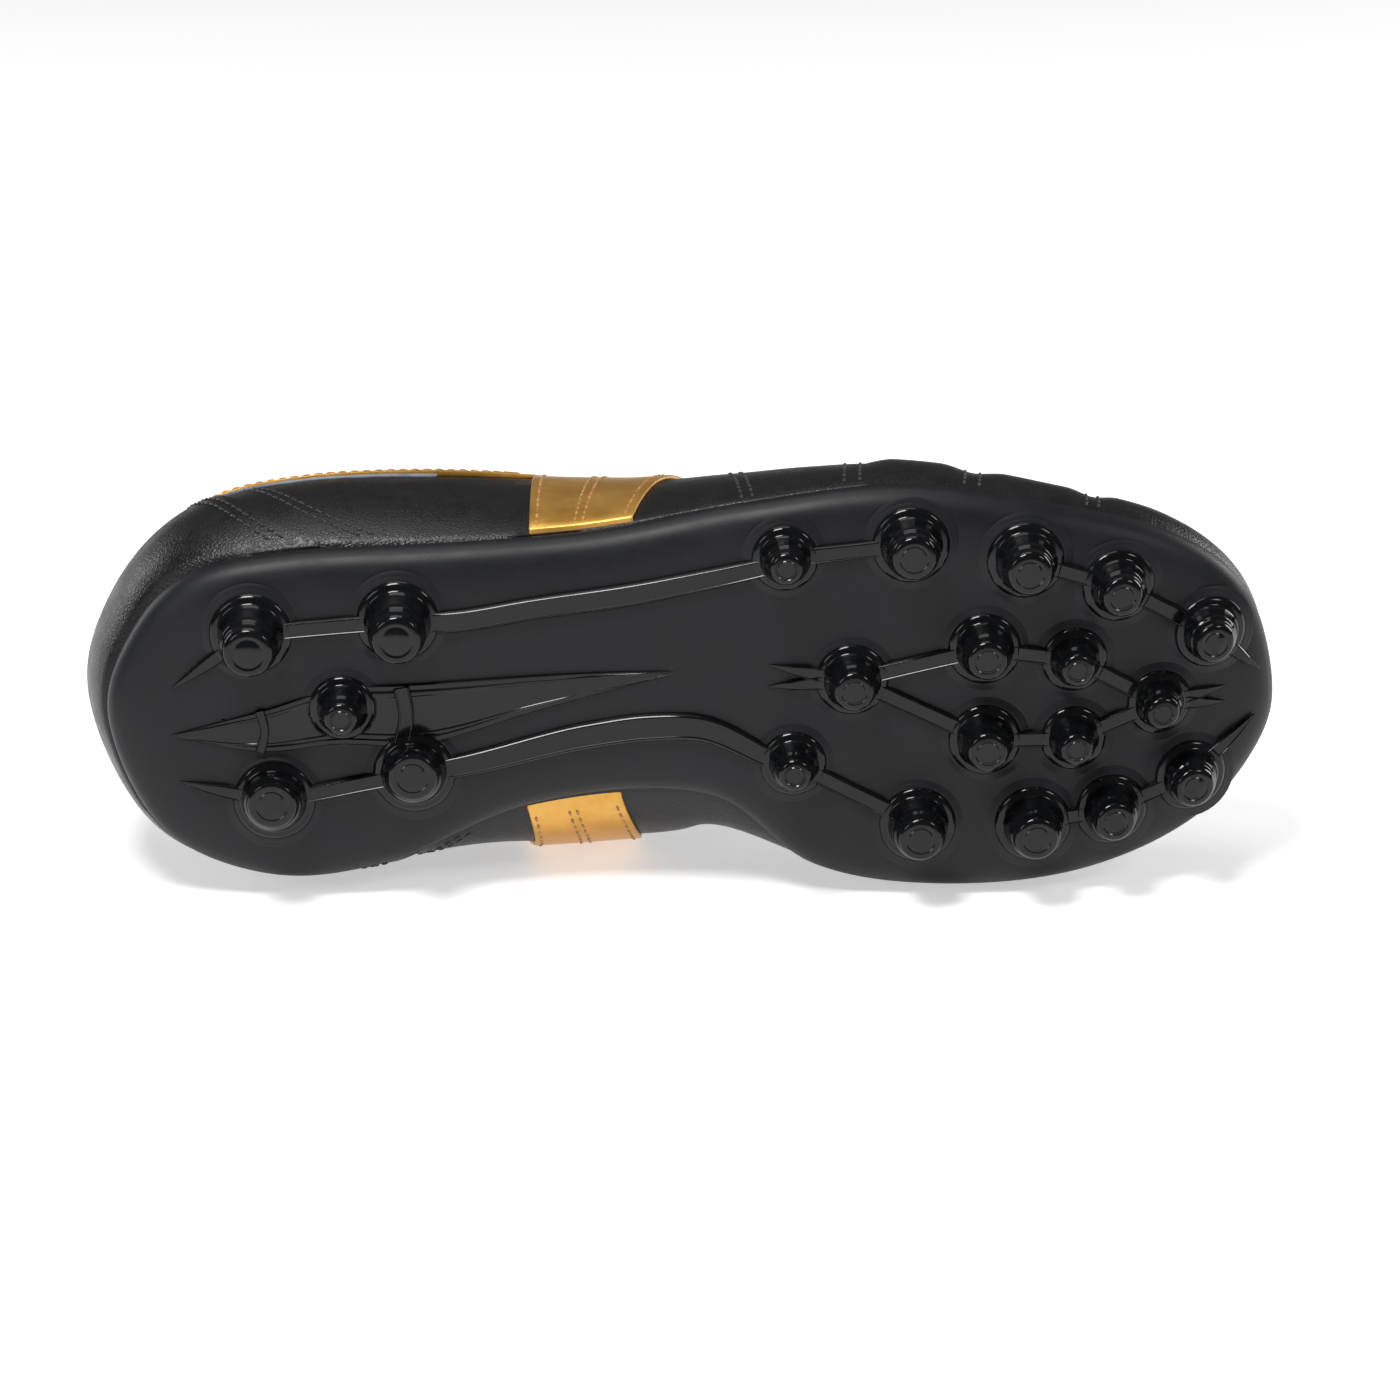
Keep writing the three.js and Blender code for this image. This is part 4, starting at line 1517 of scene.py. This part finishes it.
    def sew_body(self) -> None:
        """Marks the seams of the walls and the vamp."""
        last = self.last
        rise = np.linspace(0.03, 0.99, 400)
        for seam in self.seam_lines:
            for off in (-0.05, 0.045):
                for side in Side:
                    station = seam + self.seam_lean * rise + off
                    self.sew("black", last.fold(side, station), rise, self.wall_face)
        for off in (0.0, 0.07):
            for side in Side:
                u = last.fold(side, 6.02 + off - 0.1 * rise)
                self.sew("black", u, rise * self.throat(u, self.stay + 1), self.wall_face)

    def build(self) -> list[bpy.types.Object]:
        """Cuts, lays and sews every piece of the upper.

        Returns:
            The pieces.
        """
        pieces = [self.cut_vamp(), self.line_vamp(), self.cut_foxing()]
        for side in Side:
            pieces += self.cut_quarter(side)
            pieces.append(self.pad_collar(side))
            pieces += self.cut_band(side)
            pieces.append(self.cut_eyestay(side))
        pieces += [self.bind_collar(), self.set_eyelets()]
        self.sew_body()
        return pieces + self.sew_everything()


# ---- the soft insides -----------------------------------------------------------------


@dataclass
class Tongue:
    """One padded leather tongue, its tip curving up."""

    last: Last
    half: float = 17.5
    drop: float = 6.0
    thick: float = 6.2
    length_unit: float = 283.0
    height_unit: float = 81.0
    spine: tuple = (
        (0.215, 0.842), (0.15, 0.902), (0.09, 0.945), (0.03, 0.985), (-0.05, 1.02),
        (-0.105, 1.075), (-0.165, 1.175), (-0.205, 1.26),
    )
    bend_start: tuple = (-22.0, 0, 83)
    bend_end: tuple = (-36.0, 0, 86)

    def middle(self, s: Array) -> Array:
        """Points of the tongue's middle line, along the shoe and up.

        Args:
            s: Shares along it, from its root to its tip.

        Returns:
            The points, in millimetres.
        """
        line = np.array(self.spine) * [self.length_unit, self.height_unit]
        stops = np.linspace(0, 1, len(line))
        return np.stack([spline(stops, line[:, k], s) for k in (0, 1)], axis=-1)

    def shape(self, s: Array, r: Array) -> Array:
        """Lays the padded section along the middle line.

        Args:
            s: Shares along the tongue.
            r: Shares round its section.

        Returns:
            The points, in millimetres.
        """
        turn = r * 2 * np.pi
        across = np.sign(np.cos(turn)) * np.abs(np.cos(turn)) ** 0.55
        edge = np.sqrt(np.clip(1 - across**2, 0, 1))
        ends = smooth(0, 0.06, s) * (1 - smooth(0.95, 1.0, s))
        body = self.thick / 2 * np.clip(edge * 1.35, 0, 1) * ends
        quilt = 0.225 * np.sin(s * 26) * edge
        depth = np.where(np.sin(turn) > 0, body + quilt, -body) - self.thick / 2
        steps = np.linspace(0, 1, 400)
        pace = np.gradient(self.middle(steps), steps, axis=0)
        slope = unit(np.stack([np.interp(s, steps, pace[:, k]) for k in (0, 1)], axis=-1))
        # The spine runs backwards: its outer side is its direction turned clockwise from -Y.
        out = np.stack([slope[:, 1], -slope[:, 0]], axis=-1)
        x, z = (self.middle(s) + out * depth[:, None]).T
        tip = np.sqrt(np.clip(1 - (np.clip((s - 0.9) / 0.1, 0, 1) * 0.97) ** 2, 0, 1))
        half = self.half * (0.9 + 0.1 * smooth(0.5, 1, s)) * tip
        y = self.last.centre_y(self.middle(s)[:, 0]) + half * across
        fall = self.drop * (1 - 0.4 * s) * across**2
        return np.stack([x, y, z - fall], axis=-1)

    def build(self) -> list[bpy.types.Object]:
        """Builds the tongue as one closed padded piece.

        Returns:
            The tongue.
        """
        piece, s, r = grid_piece("tongue_padded", 110, 56)
        set_coords(piece, (self.shape(s, r) + self.last.shift) * MM)
        weld(piece, outwards=True)
        bpy.ops.object.mode_set(mode="EDIT")
        bpy.ops.mesh.select_all(action="DESELECT")
        bpy.ops.mesh.select_non_manifold(extend=False)
        bpy.ops.mesh.edge_face_add()
        bpy.ops.mesh.select_all(action="SELECT")
        bpy.ops.mesh.normals_make_consistent(inside=False)
        bpy.ops.object.mode_set(mode="OBJECT")
        paint(piece, BLACK_LEATHER, 60)
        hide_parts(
            "tongue_skin", "tongue_foam", "tongue_lining",
            "tongue_top_skin", "tongue_top_foam", "tongue_top_lining")
        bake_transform(piece)
        return [piece]


@dataclass
class Sockliner:
    """The foam insole, dished under the heel."""

    last: Last
    inset: float = 8.1
    low: float = 25.7
    thick: float = 3.4
    dish: float = 1.5
    bend_start: tuple = (55.0, 0, 28)
    bend_end: tuple = (10.0, 0, 28)

    def edge(self, u: Array) -> Array:
        """The insole's outline from above at stations u."""
        return self.last.edge(u) - self.last.outward(u) * self.inset

    def build(self) -> list[bpy.types.Object]:
        """Builds the insole as one closed piece.

        Returns:
            The insole.
        """
        last = self.last
        # Share of the way in to the middle, and share of the thickness.
        section = np.array([
            (1.0, 0.0), (0.5, 0.0), (0.0, 0.0), (0.0, 0.25), (0.0, 0.8), (0.03, 1.0), (0.25, 1.0),
            (0.6, 1.0), (1.0, 1.0),
        ])
        piece, s, r = grid_piece("sockliner_foam", 176, len(section) - 1)
        inwards, up = section[row_of(r, len(section) - 1)].T
        u = s * last.count
        edge = self.edge(u)
        spine = (edge + self.edge(last.mirrored(u))) / 2 * [0.8, 1]
        x, y = (edge * (1 - inwards[:, None]) + spine * inwards[:, None]).T
        cup = self.dish * (1 - inwards) ** 3 * (up > 0.5)
        set_coords(piece, last.place(x, y, self.low + up * self.thick + cup))
        weld(piece, outwards=True)
        paint(piece, KNIT, 50)
        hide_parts("sockliner_rear", "sockliner_front")
        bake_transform(piece)
        return [piece]


@dataclass
class HiddenParts:
    """The frame's own stiffeners and boards, dressed where they are."""

    frame: dict

    def dress(self) -> None:
        """Gives each hidden node its real material."""
        for name, finish in (("shank", STEEL), ("lasting_board", BOARD), ("heel_wedge", EVA)):
            node = self.frame["nodes"].get(name)
            if node is not None:
                node.data.materials.clear()
                node.data.materials.append(finish.make())


# ---- studio ---------------------------------------------------------------------------


@dataclass
class Studio:
    """A pale seamless floor on the shoe's big-toe side, soft lights and the camera."""

    distance: float = 1.2
    azimuth: float = -1.7
    elevation: float = 18.2
    roll: float = 0.27
    target: tuple[float, float, float] = (0.0036, 0.0070, 0.03)
    lens: float = 126.5
    room: float = 0.11
    floor_place: tuple[float, float, float] = (0, 0.0524, 0.017)
    floor_tilt: float = 91.6
    floor_glow: float = 0.5
    lights: tuple = (
        ("light_above", (-0.1, -1.1, 0.2), 0.7, 3.4),
        ("light_strip", (-0.25, -0.95, -0.42), 0.32, 10),
        ("light_camera_left", (-0.9, -0.5, -0.9), 0.4, 2.2),
        ("light_camera_right", (0.9, -0.7, -0.5), 0.25, 2.2),
        ("light_toe", (1.1, -0.35, 0.8), 0.5, 5),
        ("light_heel", (-1.1, -0.35, 0.8), 0.5, 3.5),
    )

    def place_camera(self) -> bpy.types.Object:
        """Stands the camera where it looks up at the sole.

        Returns:
            The camera.
        """
        az, el, roll = (math.radians(a) for a in (self.azimuth, self.elevation, self.roll))
        away = Vector((
            math.sin(az) * math.cos(el), -math.sin(el), -math.cos(el) * math.cos(az),
        )).normalized()
        ahead = -away
        right = ahead.cross(Vector((0, -1, 0))).normalized()
        up = right.cross(ahead)
        cos, sin = math.cos(roll), math.sin(roll)
        right, up = cos * right + sin * up, -sin * right + cos * up
        bpy.ops.object.camera_add(location=Vector(self.target) + away * self.distance)
        camera = bpy.context.object
        turn = Matrix((right, up, away)).transposed().to_4x4()
        camera.matrix_world = Matrix.Translation(camera.location) @ turn
        camera.data.lens = self.lens
        camera.data.sensor_width = 36
        camera.data.clip_start = 0.01
        bpy.context.scene.camera = camera
        return camera

    def light(
        self, name: str, where: tuple[float, float, float], size: float, power: float,
    ) -> None:
        """Hangs one soft square light that faces the shoe.

        Args:
            name: Name of the light.
            where: Its place, in metres.
            size: Its side, in metres.
            power: Its power, in watts.
        """
        bpy.ops.object.light_add(type="AREA", location=where)
        lamp = bpy.context.object
        lamp.name = name
        lamp.data.shape = "SQUARE"
        lamp.data.size = size
        lamp.data.energy = power
        ahead = Vector((0, 0, 0.04)) - Vector(where)
        lamp.rotation_euler = ahead.to_track_quat("-Z", "Y").to_euler()

    def floor_finish(self) -> bpy.types.Material:
        """Makes a pale card with a faint glow of its own, clear from behind.

        Returns:
            The card's material.
        """
        material = bpy.data.materials.new("studio_card")
        material.use_nodes = True
        tree = material.node_tree
        shader = tree.nodes["Principled BSDF"]
        shader.inputs["Roughness"].default_value = 0.55
        shader.inputs["Base Color"].default_value = linear("#F3F3F4")
        shader.inputs["Emission Color"].default_value = linear("#FFFFFF")
        shader.inputs["Emission Strength"].default_value = self.floor_glow
        clear = add_node(tree, "ShaderNodeBsdfTransparent")
        facing = add_node(tree, "ShaderNodeNewGeometry")
        mix = add_node(
            tree, "ShaderNodeMixShader",
            {0: facing.outputs["Backfacing"], 1: shader.outputs["BSDF"], 2: clear.outputs["BSDF"]})
        tree.links.new(mix.outputs["Shader"], tree.nodes["Material Output"].inputs["Surface"])
        return material

    def build(self) -> list[bpy.types.Object]:
        """Lays the floor, hangs the lights and paints the world.

        Returns:
            The objects of the stage.
        """
        bpy.ops.object.select_all(action="DESELECT")
        bpy.ops.mesh.primitive_plane_add(
            size=6, location=self.floor_place, rotation=(math.radians(self.floor_tilt), 0, 0))
        floor = bpy.context.object
        floor.name = "studio_floor"
        floor.data.materials.append(self.floor_finish())
        world = bpy.context.scene.world or bpy.data.worlds.new("studio")
        bpy.context.scene.world = world
        world.use_nodes = True
        tree, white = world.node_tree, (1, 1, 1, 1)
        background = next(n for n in tree.nodes if n.type == "BACKGROUND")
        background.inputs["Color"].default_value = white
        background.inputs["Strength"].default_value = 1.0
        # The room beyond the softboxes is dim: only the backdrop that the camera sees is white.
        dim = add_node(tree, "ShaderNodeBackground", {"Color": white, "Strength": self.room})
        seen = add_node(tree, "ShaderNodeLightPath")
        mixed = add_node(
            tree, "ShaderNodeMixShader",
            {0: seen.outputs["Is Camera Ray"], 1: dim.outputs["Background"],
             2: background.outputs["Background"]})
        output = next(n for n in tree.nodes if n.type == "OUTPUT_WORLD")
        tree.links.new(mixed.outputs["Shader"], output.inputs["Surface"])
        for light in self.lights:
            self.light(*light)
        bpy.context.scene.view_settings.view_transform = "Standard"
        return [floor]


def main() -> None:
    """Builds the shoe piece by piece, then the studio."""
    logging.basicConfig(level=logging.INFO, format="%(name)s: %(message)s")
    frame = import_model()
    last = Last()
    builders = (Outsole(last), Upper(last), Tongue(last), Sockliner(last))
    for builder in builders:
        for piece in builder.build():
            faces = len(piece.data.polygons)
            log.info("%s: %s, %d faces", type(builder).__name__, piece.name, faces)
    HiddenParts(frame).dress()
    studio = Studio()
    studio.build()
    studio.place_camera()


if __name__ == "__main__":
    main()
